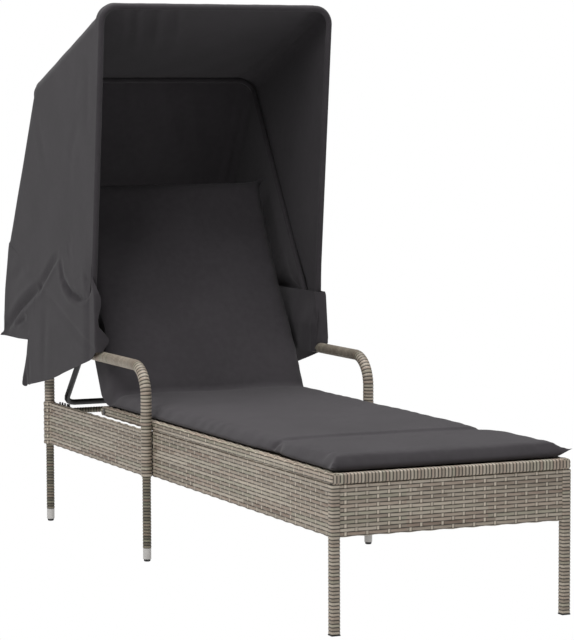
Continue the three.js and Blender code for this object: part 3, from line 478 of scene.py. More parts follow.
# Each look's slot and material
wickerLooks = {
    "woven": ("wicker", wickerFinish("woven wicker", *palette["pale"], "woven")),
    "wrapped": ("wicker", wickerFinish("wrapped wicker", *palette["pale"], "wrapped")),
    "dull wrapped": ("wicker_dark", wickerFinish("dark wrapped wicker", *palette["dull"], "wrapped")),
    "dull woven": ("wicker_dark", wickerFinish("dark woven wicker", *palette["dull"], "woven")),
}
print("scene: wicker finishes")


def dress(piece, material):
    piece.data.materials.append(material)
    return piece


def wickerPiece(name, shells, look, node, body="base"):
    slot, material = wickerLooks[look]
    piece = dress(addShell(name, shells), material)
    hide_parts(node)
    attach(piece, body)


def boxOf(node):
    low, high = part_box(node)
    return np.array(low), np.array(high)


acrossX = ((0, 1, 0), (0, 0, 1))  # the outline's two axes on a run across the lounger
sides = ((-1, "left"), (1, "right"))  # x runs to the right, seen from the foot end

# Rim: woven side rails, a foot rail and a rear rail wrapped crosswise, wrapped deck bars
rim = {
    "railWidth": 0.022, "railRadius": 0.006, "railPoints": 28, "footGap": 0.0015, "tuck": 0.002, "rearRailFront": 1.372,
    "barWidth": 0.018, "barHeight": 0.016, "barRadius": 0.004, "barPoints": 24, "barShares": (0.25, 0.5, 0.75),
}


def buildRim(p):
    low, high = boxOf("seat_frame")
    w, h = p["railWidth"], high[2] - low[2]
    midZ = (low[2] + high[2]) / 2
    rail = roundedRect(w, h, p["railRadius"])
    for side, name in sides:
        x = side * (high[0] - w / 2)
        shell = weaveAlong((x, low[1] + p["footGap"], midZ), (x, high[1], midZ), (1, 0, 0), (0, 0, 1), rail)
        wickerPiece(f"{name}_side_rail_weave", [shell], "woven", "seat_frame")
    cross = resample(rail, p["railPoints"])[0]
    bar = resample(roundedRect(p["barWidth"], p["barHeight"], p["barRadius"]), p["barPoints"])[0]
    inner, barZ = high[0] - w, low[2] + p["barHeight"] / 2
    # half length, y, z and outline; the side rails' weave covers the foot rail's ends
    runs = [(high[0] - p["tuck"], low[1] + w / 2, midZ, cross)]
    runs += [(inner, footEnd + p["rearRailFront"] + w / 2, midZ, cross)]
    runs += [(inner, footEnd + p["rearRailFront"] * share, barZ, bar) for share in p["barShares"]]
    shells = [straightWrap((-x, y, z), (x, y, z), *acrossX, outline, wicker["wrapPitch"]) for x, y, z, outline in runs]
    wickerPiece("cross_rail_wraps", shells, "wrapped", "seat_frame")


buildRim(rim)

# Aprons: a C section, woven lengthwise. The weave reaches on to the legs and posts.
apron = {"thickness": 0.014, "rail": 0.017, "skin": 0.006, "bevel": 0.002, "reach": 0.0052, "footGap": 0.0015,
         "hoop": 0.014, "rearOut": 0.318, "postRadius": 0.0175}


def apronOutline(height):
    # counter-clockwise, outer face at the right; the lower half mirrors the upper one
    t, r, s, b = (apron[key] for key in ("thickness", "rail", "skin", "bevel"))
    h = height / 2
    upper = np.array([(0, h - b), (-b, h), (-t + b, h), (-t, h - b), (-t, h - r), (-s, h - r - s)])
    return np.concatenate([[(0, -h + b)], upper, upper[:0:-1] * (1, -1)])


def buildAprons(p):
    low, high = boxOf("foot_apron")
    z = (low[2] + high[2]) / 2
    ends = (high[0] + p["reach"], low[1], z), (low[0] - p["reach"], low[1], z)
    shell = weaveAlong(*ends, (0, -1, 0), (0, 0, 1), apronOutline(high[2] - low[2]))
    wickerPiece("foot_apron_weave", [shell], "woven", "foot_apron")
    for side, name in sides:
        for place in ("front", "rear"):
            node = f"{name}_{place}_apron"
            low, high = boxOf(node)
            z = (low[2] + high[2]) / 2
            if place == "front":
                x = high[0] if side > 0 else low[0]
                ends = (x, low[1] - p["footGap"], z), (x, high[1] + p["hoop"], z)
            else:
                x = side * p["rearOut"]
                ends = (x, low[1] - p["reach"], z), (x, boxOf(f"{name}_rear_glide")[0][1], z)
            shells = [weaveAlong(*ends[::-side], (side, 0, 0), (0, 0, 1), apronOutline(high[2] - low[2]))]
            if place == "rear":
                shells.append(postShell(name, low[2], high[2]))
            wickerPiece(f"{node}_weave", shells, "woven", node)


def postShell(name, low, high):
    # the apron's rows go on round the rear post: rows step along z, strands run round it
    centre = sum(boxOf(f"{name}_rear_glide")) / 2
    rows = round((high - low) / wicker["rowPitch"])
    stakes = 2 * round(math.pi * apron["postRadius"] / wicker["stakePitch"])
    u = stakeStations(stakes)
    v = np.arange(rows * wicker["rowSamples"] + 1) / wicker["rowSamples"]
    angle = u / stakes * 2 * math.pi
    radius = apron["postRadius"] - 2 * wicker["strandRise"] + weaveHeight(u[None] + 0.5, v[:, None])
    x, y = centre[0] + radius * np.cos(angle), centre[1] + radius * np.sin(angle)
    grid = np.stack(np.broadcast_arrays(x, y, (low + (high - low) * v / rows)[:, None]), -1)
    return gridShell(grid, crossed(v, np.append(u, u[0] + stakes) + 0.5)[..., ::-1])


buildAprons(apron)
print("scene: aprons and rim")

# Legs and armrest hoops, wrapped
hoop = {"radius": 0.014, "bend": 0.075, "around": 20, "legRadius": 0.011, "legAround": 16, "footSide": 0.022,
        "footRadius": 0.004, "footPoints": 28}


def standingWrap(node, outline, bottom, top):
    # a wrap up the middle of a leg's box
    x, y, _ = sum(boxOf(node)) / 2
    return straightWrap((x, y, bottom), (x, y, top), (1, 0, 0), (0, 1, 0), outline, wicker["legPitch"])


def hoopWrap(low, high, p):
    # up the middle post, over the arm and down the rear post
    x, front, rear, top = (low[0] + high[0]) / 2, low[1] + p["radius"], high[1] - p["radius"], high[2] - p["radius"]
    corners = [(x, front, low[2]), (x, front, top), (x, rear, top), (x, rear, low[2])]
    points, length = bentPath(corners, p["bend"], wicker["wrapPitch"] / wicker["wrapSamples"])
    points = resample(points, turnsOf(length, wicker["wrapPitch"])[1], closed=False)[0]
    return wrapTube(circle(p["radius"], p["around"]), framesAlong(points, (1, 0, 0)), length, wicker["wrapPitch"])


def buildLegs(p):
    square = resample(roundedRect(p["footSide"], p["footSide"], p["footRadius"]), p["footPoints"])[0]
    for _, name in sides:
        foot, arm = f"{name}_foot_leg", f"{name}_arm_hoop"
        shell = standingWrap(foot, square, *(corner[2] for corner in boxOf(foot)))
        wickerPiece(f"{foot}_wrap", [shell], "wrapped", foot)
        wickerPiece(f"{arm}_wrap", [hoopWrap(*boxOf(arm), p)], "wrapped", arm)
        for place in ("front", "rear"):
            node = f"{name}_{place}_lower_leg"
            bottom, top = boxOf(f"{name}_{place}_leg_sleeve")[1][2], boxOf(arm)[0][2]
            shell = standingWrap(node, circle(p["legRadius"], p["legAround"]), bottom, top)
            wickerPiece(f"{node}_wrap", [shell], "dull wrapped", node)
    low, high = boxOf("head_cross_tube")
    y, z = (low[1] + high[1]) / 2, (low[2] + high[2]) / 2
    tube = circle((high[2] - low[2]) / 2, p["legAround"])
    shell = straightWrap((low[0], y, z), (high[0], y, z), *acrossX, tube, wicker["legPitch"])
    wickerPiece("head_cross_tube_wrap", [shell], "dull wrapped", "head_cross_tube")


buildLegs(hoop)
print("scene: legs and hoops")

# Woven decks: broad strands across, in a flat closed panel
deck = {"rowPitch": 0.0155, "stakePitch": 0.036, "round": 0.45, "steps": 3}


def deckShell(low, high, turn=Matrix()):
    # rows run across the lounger; the outline goes round the panel's length and thickness
    length, thick = high[1] - low[1], high[2] - low[2]
    ring = roundedRect(length, thick, thick * deck["round"], deck["steps"])
    y, z = (low[1] + high[1]) / 2, (low[2] + high[2]) / 2
    shell = weaveAlong((low[0], y, z), (high[0], y, z), *acrossX, ring, deck["rowPitch"], deck["stakePitch"])
    return shell[0] @ np.array(turn.to_3x3()).T + np.array(turn.translation), *shell[1:]


# Backrest: a turned frame of its own, drawn flat from the hinge
backrest = {"hinge": 1.412, "hingeZ": 0.345, "angle": math.radians(61), "length": 0.606, "half": 0.272, "rail": 0.022,
            "height": 0.024, "bar": 0.08, "barWidth": 0.018, "barHeight": 0.016, "gap": 0.0003, "deck": 0.003}
hingeAt = Vector((0, footEnd + backrest["hinge"], backrest["hingeZ"]))
backTurn = Matrix.Translation(hingeAt) @ Matrix.Rotation(backrest["angle"], 4, "X")


def buildDecks(b):
    wickerPiece("seat_deck_weave", [deckShell(*boxOf("seat_woven_deck"))], "woven", "seat_woven_deck")
    # the backrest's deck lies on its bars, from the lowest bar up to the top rail
    inner = b["half"] - b["rail"] - b["gap"]
    z = b["barHeight"] - b["height"] / 2 + b["gap"]
    low = -inner, b["length"] * b["bar"] - b["barWidth"] / 2, z
    high = inner, b["length"] - b["rail"] - b["gap"], z + b["deck"]
    shell = deckShell(low, high, backTurn)
    wickerPiece("backrest_deck_weave", [shell], "dull woven", "backrest_woven_deck", "backrest")


buildDecks(backrest)
print("scene: decks")

# Cloth surfaces

def lengths(points):
    # how far each point of a line is from its start, along it
    return np.concatenate([[0], np.cumsum(np.linalg.norm(np.diff(points, axis=0), axis=1))])


def sheetShell(grid, thickness, side):
    # A thin closed sheet on one side of an open grid (i, j, 3). Its unit normals are the cross
    # products of the grid's two directions, and its coordinate pairs are in metres.
    n = np.cross(np.gradient(grid, axis=0), np.gradient(grid, axis=1))
    n /= np.maximum(np.linalg.norm(n, axis=2, keepdims=True), 1e-9)
    ring = np.concatenate([grid + n * side * thickness, grid[:, ::-1]], axis=1)
    along, across = lengths(grid[:, grid.shape[1] // 2]), lengths(grid[grid.shape[0] // 2])
    return gridShell(ring, crossed(along, np.concatenate([across, across[::-1], across[:1]])))


def smoothStep(t):
    t = np.clip(t, 0, 1)
    return t * t * (3 - 2 * t)


# Canopy: its pivot from the foot end and the floor, half width over the bows' middles, how far off
# them the cloth lies, its sags and belly, how deep the right side's creases are for the left's, and
# each bow's angle in degrees and length
canopy = {
    "pivotY": 1.427, "pivotZ": 0.530, "half": 0.324, "corner": 0.042, "off": 0.0075, "thick": 0.0011, "start": 0.05,
    "steps": 44, "sag": 0.012, "cornerSag": 0.007, "roofRipple": 0.0016, "sideRipple": 0.0012, "bellyRipple": 0.0009,
    "belly": 0.0075, "bellyTop": 0.82, "bellyFront": 1.385, "rightDepth": 0.3,
    "bows": {"rear": (19.44, 0.7214), "middle": (57.76, 0.8154), "front": (96.02, 0.8823)},
}


def bowPoint(name, x, r, lift=0.0):
    # x across, r out from the pivot in the bow's plane, lift square to that plane
    angle = math.radians(canopy["bows"][name][0])
    y = footEnd + canopy["pivotY"] + r * math.cos(angle) - lift * math.sin(angle)
    z = canopy["pivotZ"] + r * math.sin(angle) + lift * math.cos(angle)
    return np.stack(np.broadcast_arrays(x, y, z), -1)


def bowQuarter(name, off, turn, top):
    # x, r and the unit normal's x and r round a bow's corner, then along its top to the middle
    length, inner = canopy["bows"][name][1], canopy["half"] - canopy["corner"]
    flat = np.zeros(len(top))
    nx, nr = np.append(np.cos(turn), flat), np.append(np.sin(turn), flat + 1)
    reach = canopy["corner"] + off
    x = np.append(inner + reach * np.cos(turn), top)
    r = np.append(length - canopy["corner"] + reach * np.sin(turn), flat + length + off)
    return x, r, nx, nr


def bowLine(name, off, start, counts=(56, 14, 30)):
    # (x, r) round a bow from its left side over its top to its right, off the tube by off, with
    # the outline's unit normal
    side = np.linspace(start, canopy["bows"][name][1] - canopy["corner"], counts[0])
    turn = np.linspace(0, math.pi / 2, counts[1] + 1)[1:]
    top = np.linspace(canopy["half"] - canopy["corner"], 0, counts[2] + 1)[1:]
    leg = side * 0 + canopy["half"] + off, side, side * 0 + 1, side * 0
    lines = [np.append(*pair) for pair in zip(leg, bowQuarter(name, off, turn, top))]
    return [np.append(line * sign, line[-2::-1]) for line, sign in zip(lines, (-1, 1, -1, 1))]


# Creases in the hood's sides: points (y, z) from the foot end and the floor, depth and half width
creases = [
    ([(1.484, 1.245), (1.526, 1.161)], 0.002, 0.016), ([(1.497, 1.117), (1.549, 1.043), (1.57, 0.96)], 0.0028, 0.018),
    ([(1.836, 1.126), (1.795, 1.07), (1.775, 1.0)], 0.003, 0.02), ([(1.42, 1.28), (1.43, 1.1)], 0.002, 0.014),
    ([(1.665, 0.745), (1.70, 0.725), (1.75, 0.688), (1.80, 0.652)], 0.009, 0.010),
    ([(1.80, 0.652), (1.87, 0.625), (1.962, 0.585), (2.06, 0.526)], 0.012, 0.012),
    ([(1.914, 0.562), (1.986, 0.54)], 0.008, 0.008), ([(1.64, 0.74), (1.62, 0.69), (1.57, 0.66)], 0.004, 0.010),
    ([(1.60, 0.672), (1.555, 0.652), (1.49, 0.642), (1.44, 0.645)], 0.010, 0.009),
    ([(1.45, 0.70), (1.415, 0.688)], 0.007, 0.008), ([(1.566, 0.798), (1.572, 0.79)], 0.004, 0.012),
    ([(2.03, 0.66), (1.93, 0.70)], 0.003, 0.02), ([(1.75, 0.60), (1.76, 0.42)], 0.0015, 0.02),
    ([(1.93, 0.44), (1.945, 0.36)], 0.003, 0.008), ([(1.885, 0.44), (1.89, 0.37)], 0.003, 0.009),
]


# A crease's depth at its ends, and the ridges beside it: their height and how many widths off
creaseForm = {"end": 0.35, "ridge": 0.2, "ridgeAt": 2.0}


def bell(gap, width):
    return np.exp(-(gap / width) ** 2)


def creaseDepth(y, z):
    # How far the side is pushed in at (y, z): the sum of the creases' bell-shaped sections, each
    # with a low ridge on both sides. A crease is deepest halfway along.
    total = np.zeros(np.broadcast(y, z).shape)
    y = y - footEnd
    end = creaseForm["end"]
    for points, depth, width in creases:
        near, fade = np.full(total.shape, np.inf), 0
        for k, (a, b) in enumerate(zip(points, points[1:])):
            dy, dz = b[0] - a[0], b[1] - a[1]
            t = np.clip(((y - a[0]) * dy + (z - a[1]) * dz) / (dy ** 2 + dz ** 2), 0, 1)
            gap = np.hypot(y - a[0] - t * dy, z - a[1] - t * dz)
            share = (k + t) / (len(points) - 1)
            fade = np.where(gap < near, end + (1 - end) * np.sin(math.pi * share), fade)
            near = np.minimum(gap, near)
        ridge = creaseForm["ridge"] * bell(near - creaseForm["ridgeAt"] * width, width)
        total += depth * fade * (bell(near, width) - ridge)
    return total


def ripple(a, b, seed):
    # broad, soft unevenness of hanging cloth: a few waves with fixed random directions
    rng = np.random.default_rng(seed)
    total = 0
    for k in range(6):
        angle, phase = rng.uniform(0, 2 * math.pi, 2)
        wave = rng.uniform(9, 26)
        total = total + np.sin(wave * (a * math.cos(angle) + b * math.sin(angle)) * 2 + phase) / (1 + k * 0.4)
    return total / 4


def sideShare(x):
    # 1 on the hood's sides, 0 over its roof
    return smoothStep((np.abs(x) - (canopy["half"] - canopy["corner"])) / canopy["corner"])


def sideOut(y, z, depth=1.0):
    # how far a side stands off the bows: a slack belly near the arms, less the creases
    low = smoothStep((canopy["bellyTop"] - z) / 0.2) * smoothStep((y - footEnd - canopy["bellyFront"]) / 0.07)
    dent = creaseDepth(y, z) * (0.35 + 0.65 * low) * depth
    return canopy["belly"] * low - dent + canopy["bellyRipple"] * low * ripple(y, z, 12)


def hoodPanel(low, high, seed, roofFolds):
    # A straight pull from one bow to the next that sags towards the pivot over the roof, with
    # creases in its sides.
    t = np.linspace(0, 1, canopy["steps"])[None]
    start, end = (bowPoint(name, *bowLine(name, canopy["off"], canopy["start"])[:2]) for name in (low, high))
    grid = start[:, None] * (1 - t[..., None]) + end[:, None] * t[..., None]
    x, y, z = np.moveaxis(grid, -1, 0)
    side = sideShare(x)
    roof = 1 - side
    pin = 4 * t * (1 - t)  # 0 at both bows, 1 halfway
    inward = canopy["sag"] * pin * roof + canopy["cornerSag"] * pin ** 0.4 * side * roof * 4
    for place, width, depth in roofFolds:
        # these run from the front hem back and inwards, and stop short of both bows
        reach = smoothStep((t - 0.35) / 0.4) * (1 - smoothStep((t - 0.95) / 0.05))
        inward = inward + depth * bell(x - place - 0.18 * (1 - t), width) * reach * roof
    inward = inward + canopy["roofRipple"] * pin ** 0.5 * ripple(x, y, seed) * roof
    away = np.stack([np.zeros_like(x), y - footEnd - canopy["pivotY"], z - canopy["pivotZ"]], -1)
    away /= np.maximum(np.linalg.norm(away, axis=2, keepdims=True), 1e-6)
    hold = np.clip(np.maximum(pin * 3, smoothStep((0.8 - z) / 0.08)), 0, 1)
    out = hold * sideOut(y, z, np.where(x < 0, 1.0, canopy["rightDepth"]))
    out = np.sign(x) * side * (out + canopy["sideRipple"] * pin * ripple(y, z, seed + 1))
    grid = grid - inward[..., None] * away
    grid[..., 0] += out
    return grid


# The cloths' sheen and gloss, their dim, bright and deep shades, and how much the threads show
clothLook = {"sheen": 0.1, "specular": 0.25, "shades": (0.9, 1.1, 0.6), "threadShade": 0.12, "bump": 0.35}


def clothFinish(name, colour, thread):
    # plain weave: two crossed fine waves on the piece's own pair in metres, with soft mottling
    f = Finish(name, Roughness=0.85, Sheen_Weight=clothLook["sheen"], Sheen_Roughness=0.5, IOR=1.4,
               Specular_IOR_Level=clothLook["specular"])
    warp, weft = ((pair * (2 * math.pi / thread)).wave() for pair in f.uv())
    place = f.objectPlace()
    slub = f.noise(place, 60.0, 3.0)
    broad = f.noise(place, 7.0, 2.0)
    share = (slub * 0.5 + broad * 0.5).ramp(0.3, 0.7)
    dim, bright, deep = (tuple(np.multiply(linear(colour)[:3], k)) + (1.0,) for k in clothLook["shades"])
    tint = f.mix(share, dim, bright)
    f.set("Base Color", f.mix((warp * weft).ramp(-1, 1) * clothLook["threadShade"], tint, deep))
    f.bump((warp * weft) * 0.4 + slub * 0.8, 0.0002, clothLook["bump"])
    return f.material


canopyCloth = clothFinish("canopy cloth", (56, 53, 56), 0.0009)


def clothPiece(name, grid, thickness, side):
    return dress(addShell(name, [sheetShell(grid, thickness, side)]), canopyCloth)


# Hood panels: name, the two bows, the seed of the ripples, and the roof's folds as place across, half
# width and depth. blendAt gives a point on each bow's plane at that share of its length; they are worked out but not
# used.
hood = {
    "panels": (
        ("canopy_front_cloth", "middle", "front", 3, (
            (-0.222, 0.011, 0.009), (-0.164, 0.012, 0.009), (-0.106, 0.012, 0.007), (-0.26, 0.012, 0.004),
            (0.24, 0.016, 0.003))),
        ("canopy_rear_cloth", "rear", "middle", 11, ((-0.02, 0.03, 0.005), (0.06, 0.025, 0.005), (0.13, 0.02, 0.004))),
    ),
    "blendAt": 0.72, "flat": (2.1, 0.62),
}


def buildHood(p):
    for name, low, high, seed, folds in p["panels"]:
        grid = hoodPanel(low, high, seed, folds)
        piece = clothPiece(name, grid, canopy["thick"], -1)
        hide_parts(name.replace("cloth", "panel"))
        start, end = (tuple(bowPoint(bow, 0.0, canopy["bows"][bow][1] * p["blendAt"])) for bow in (low, high))
        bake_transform(piece)


buildHood(hood)

# Sleeves sewn round the bows: for each bow its band's width, how far off its cloth lies, and how
# much it swells along its length
sleeve = {
    "inner": 0.0074, "start": 0.1, "around": 14, "folded": 0.185, "girth": 0.08, "counts": (110, 16, 60),
    "bows": (("front", 0.022, canopy["off"] + canopy["thick"], 0.05), ("middle", 0.018, canopy["off"], 0.03),
             ("rear", 0.018, canopy["off"], 0.03)),
}


def sleeveOutline(band, outer):
    # (radial, backward): a half circle in front of the tube, from its outer side to its inner
    # side, drawn out to a flat band behind it that lies against the cloth
    a = np.linspace(0, math.pi, sleeve["around"])
    radius, centre = (outer + sleeve["inner"]) / 2, (outer - sleeve["inner"]) / 2
    front = np.stack([centre + radius * np.cos(a), -radius * np.sin(a)], 1)
    lap = canopy["off"] + 0.0004
    tail = np.array([(-sleeve["inner"] * 0.55, band * 0.35), (lap * 0.5, band * 0.72), (lap - 0.0016, band * 0.93),
                     (lap - 0.0006, band), (lap, band), (lap, band * 0.5)])
    return np.concatenate([front, tail])


def bowSleeve(name, band, outer, wobble):
    x, r, nx, nr = bowLine(name, 0.0, sleeve["start"], sleeve["counts"])
    radial, back = sleeveOutline(band, outer).T[:, None]
    s = lengths(np.stack([x, r], 1))
    swell = 1 + wobble * (np.sin(s * 95) * 0.5 + np.sin(s * 41 + 1.3) * 0.6 + np.sin(s * 173 + 0.4) * 0.25)[:, None]
    # near the pivot the folded bows lie close, so the band narrows there
    room = np.clip((r * sleeve["folded"] - 0.011) / (band * 1.15), 0.2, 1)[:, None]
    lift = back * (1 + np.clip(back / band, 0, 1) * (swell - 1) * 4)
    lift = np.where(lift > 0, lift * room, lift)
    radial = radial * np.where(radial < 0, swell, 1)
    grid = bowPoint(name, x[:, None] + nx[:, None] * radial, r[:, None] + nr[:, None] * radial, -lift)
    uv = crossed(s, np.linspace(0, sleeve["girth"], grid.shape[1] + 1))
    piece = dress(addShell(f"{name}_bow_sleeve", [gridShell(grid, uv)]), canopyCloth)
    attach(piece, f"{name}_canopy")


for bow in sleeve["bows"]:
    bowSleeve(*bow)
print("scene: bow sleeves")

# Curtain: hangs from the rear bow down both sides and across the back. Over the sides it laps up
# over the hood and runs forward round the bows' pivots.
curtain = {
    "hemZ": 0.497, "backSpread": 0.018, "backFolds": 5, "foldDepth": 0.006, "hemKick": 0.011, "bulge": 0.01, "rows": 56,
    "lap": 0.0014, "tuck": 0.0022, "flare": 0.004, "turnSteps": 12, "perMetre": 170, "fixedFrom": 1.77,
    "flat": (2.3, 0.38),
    # side columns from the front: top (y, z) and hem (y, z)
    "columns": (
        (1.384, 0.704, 1.376, 0.507), (1.398, 0.672, 1.397, 0.489), (1.425, 0.65, 1.436, 0.476),
        (1.469, 0.643, 1.512, 0.456), (1.555, 0.65, 1.595, 0.435), (1.6, 0.668, 1.64, 0.422),
        (1.625, 0.7, 1.668, 0.415), (1.645, 0.738, 1.69, 0.41), (1.66, 0.747, 1.715, 0.404),
        (1.69, 0.727, 1.76, 0.396), (1.749, 0.69, 1.83, 0.384), (1.78, 0.659, 1.885, 0.375),
        (1.8, 0.6655, 1.942, 0.367), (1.806, 0.6675, 1.893, 0.5), (1.93, 0.7098, 1.97, 0.497),
        (2.04, 0.7472, 2.062, 0.497),
    ),
    "rightFront": ((1.387, 0.645, 1.371, 0.507), (1.4, 0.645, 1.393, 0.489), (1.425, 0.6455, 1.436, 0.476)),
    "tipBack": 0.018,
    # the front edge turns in past the bows' ends: height, and how far on the left and on the right
    "turnIn": (
        (0.5, 0.014, 0.034), (0.512, 0.02, 0.034), (0.529, 0.036, 0.034), (0.54, 0.039, 0.034),
        (0.556, 0.026, 0.033), (0.569, 0.012, 0.034), (0.584, 0.007, 0.034), (0.605, 0.01, 0.034),
        (0.625, 0.017, 0.034), (0.648, 0.018, 0.034), (0.665, 0.012, 0.034), (0.68, 0.008, 0.034),
        (0.704, 0.0015, 0.034),
    ),
    "turnRound": 0.006,
}


def bowRise(y):
    return canopy["pivotZ"] + (y - footEnd - canopy["pivotY"]) * math.tan(math.radians(canopy["bows"]["rear"][0]))


def curtainSide(sign):
    c = curtain
    shares = np.array(c["columns"])
    if sign > 0:
        shares[:3] = c["rightFront"]
    parts = []
    for a, b in zip(shares, shares[1:]):
        span = np.abs(b - a).max()
        count = 2 if b[0] - a[0] < 0.01 else max(4, round(span * c["perMetre"]))
        parts.append(a + (b - a) * np.linspace(0, 1, count, endpoint=False)[:, None])
    columns = np.concatenate(parts + [shares[-1:]])
    # the edges' heights are smoothed three times, except at the tail, where they have corners
    smooth = columns.copy()
    for _ in range(3):
        smooth[1:-1, 1::2] = (smooth[:-2, 1::2] + 2 * smooth[1:-1, 1::2] + smooth[2:, 1::2]) / 4
    columns = np.where(columns[:, :1] > c["fixedFrom"], columns, smooth)
    t = np.linspace(0, 1, c["rows"])[None]
    top, hem = columns[:, None, :2], columns[:, None, 2:]
    y, z = np.moveaxis(top + (hem - top) * t[..., None], -1, 0)
    y = y + footEnd
    ahead = 1 - smoothStep((columns[:, None, 0] - 1.384) / 0.06)
    y = y + c["tipBack"] * ahead * smoothStep((z - 0.655) / 0.05)
    hanging = np.maximum(0, bowRise(y) - z)
    out = sideOut(y, z, 1.0 if sign < 0 else canopy["rightDepth"])
    # near the front edge it never lies in against the arm
    out = np.where(y - footEnd < 1.46, np.maximum(out, 0.003 * smoothStep((1.5 - y + footEnd) / 0.1)), out)
    flare = c["flare"] * smoothStep(hanging / 0.2)
    above = smoothStep((z - bowRise(y)) / 0.012)
    lap = c["lap"] - c["tuck"] * (1 - smoothStep(t / 0.07)) * above
    lap = lap * np.maximum(above, smoothStep(hanging / 0.03))
    # the tail behind each arm waves a little towards its hem
    tail = smoothStep((hem[..., 0] - 1.86) / 0.06) * (hem[..., 1] < 0.45) * smoothStep((t - 0.75) / 0.25)
    wave = 0.004 * tail * np.sin(y * 150)
    z = z + 0.004 * tail * np.sin(y * 170 + 1) * smoothStep((t - 0.9) / 0.1)
    x = canopy["half"] + canopy["off"] + out + flare + lap + wave
    # turned-in edge: from the first column round a small bend and in towards the seat
    heights, left, right = np.array(c["turnIn"]).T
    width = np.interp(z[0], heights, left if sign < 0 else right)
    run = np.linspace(1, 0, c["turnSteps"], endpoint=False)[:, None]
    bend = np.minimum(width, c["turnRound"])
    edgeX = x[0] - width * run ** 1.4
    edgeY = y[0] - bend * np.sqrt(1 - (1 - run) ** 2) * (1 - 0.35 * run)
    edge = np.stack(np.broadcast_arrays(edgeX, edgeY, z[0]), -1)
    return np.concatenate([edge, np.stack([x, y, z], -1)]) * (sign, 1, 1)


def curtainBack():
    # half of the back, from the side round the corner to the middle plane
    c = curtain
    t = np.linspace(0, 1, c["rows"])[None]
    turn = np.linspace(0, math.pi / 2, 22)
    top = np.linspace(canopy["half"] - canopy["corner"], 0, 46)[1:]
    x, r, outX, outY = (line[:, None] for line in bowQuarter("rear", canopy["off"], turn, top))
    share = np.append(turn / (math.pi / 2), np.ones(len(top)))[:, None]
    wave = 0.5 - 0.5 * np.cos(x / canopy["half"] * math.pi * c["backFolds"])
    _, y, start = np.moveaxis(bowPoint("rear", x, r), -1, 0)
    z = start * (1 - t) + c["hemZ"] * t
    hanging = start - z
    bulge = c["bulge"] * smoothStep(hanging / 0.006) * np.maximum(share, 0.15) + c["backSpread"] * share * t
    kick = c["hemKick"] * smoothStep((t - 0.95) / 0.05) * smoothStep(share / 0.2)
    out = bulge - c["foldDepth"] * share * wave * t + kick
    # next to the side it takes up the side's own shape
    sideways = sideOut(y, z) + c["flare"] * smoothStep(hanging / 0.2) + c["lap"] * smoothStep(hanging / 0.03)
    x = x + outX * out + (1 - smoothStep(share / 0.7)) * sideways
    return np.stack([x, y + outY * out + (1 - share) * 0.022 * t, z], -1)


def buildCurtain():
    back = curtainBack()
    halves = []
    for sign in (1, -1):
        half = np.concatenate([curtainSide(sign), back * (sign, 1, 1)])
        x, _, z = np.moveaxis(half, -1, 0)
        half[..., 1] += 0.0025 * ripple(x * 2, z, 21) * (1 - sideShare(x)) * np.linspace(0, 1, curtain["rows"])
        halves.append(half)
    grid = np.concatenate([halves[0], halves[1][-2::-1]])
    piece = clothPiece("canopy_curtain_cloth", grid, canopy["thick"], -1)
    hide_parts("canopy_curtain")
    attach(piece, "rear_canopy")


buildCurtain()

# Linings inside the pivots, which hide the bows' ends from the seat
lining = {
    "x": 0.2925, "top": 0.3135, "rear": 1.74, "low": 0.484, "high": 0.645, "leanFrom": 0.55, "wave": 0.001,
    "thick": 0.001, "steps": (90, 44), "flat": (0.38, 0.19),
    # for each side its front edge's place low down and high up, and how far that edge turns outwards
    "left": (1.412, 1.412, 0), "right": (1.3675, 1.386, 0.009),
}


def buildLinings(p):
    # a flap that hangs straight beside the bracket and leans out at its top, as far as leaves the
    # bows room to fold down past it
    for sign, name in sides:
        share, t = np.meshgrid(*(np.linspace(0, 1, count) for count in p["steps"]), indexing="ij")
        z = p["high"] + (p["low"] - p["high"]) * t
        frontLow, frontHigh, edge = p[name]
        front = frontLow + (frontHigh - frontLow) * smoothStep((z - 0.56) / 0.08)
        y = front + (p["rear"] - front) * share
        lean = smoothStep((z - p["leanFrom"]) / (p["high"] - p["leanFrom"]))
        turned = edge * (1 - smoothStep((y - front) / 0.02))
        x = p["x"] + (p["top"] - p["x"]) * lean + (p["wave"] * np.sin(y * 70 + z * 20) + turned) * (1 - lean)
        grid = np.stack([sign * x, y + footEnd, z], -1)
        piece = clothPiece(f"{name}_pivot_lining", grid, p["thick"], -sign)
        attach(piece, "rear_canopy")


buildLinings(lining)

# Mattress: one long pad over seat and backrest. It is made flat, swollen by a cloth simulation,
# sewn, and then bent up over the hinge.
mattress = {
    "half": 0.296, "backHalf": 0.287, "from": 0.010, "seatEnd": 1.3681, "backFrom": 0.0454, "to": 0.672, "bend": 0.05,
    "seam": 0.36, "droop": 0.049, "pinch": 0.008, "footRise": 0.003, "steps": (60, 200),
    "thickness": 0.028, "edge": 0.004, "round": 0.018, "drawIn": 0.005, "crown": 0.003, "voxel": 0.006, "frames": 20,
    "cap": 0.006, "floor": 0.0006, "seamDepth": 0.0065, "seamSlope": 0.035, "seamWall": 0.006, "lift": 0.0005,
    "ear": 0.026, "earHeight": 0.029, "earRound": 0.017, "leftFootEar": 0.3, "seamEnds": ((0.55, 0.006), (-1.3, 0.004)),
    "cloth": {
        "quality": 4, "mass": 0.3, "use_pressure": True, "uniform_pressure_force": 4.0, "tension_stiffness": 12,
        "compression_stiffness": 12, "bending_stiffness": 0.4,
    },
}


def mattressLength(m):
    return m["seatEnd"] + m["bend"] * backrest["angle"] + m["to"] - m["backFrom"]


def padHalf(m, y):
    # half the pad's width: wider on the seat than on the backrest
    return m["half"] + (m["backHalf"] - m["half"]) * smoothStep((y - 1.5) / 0.25)


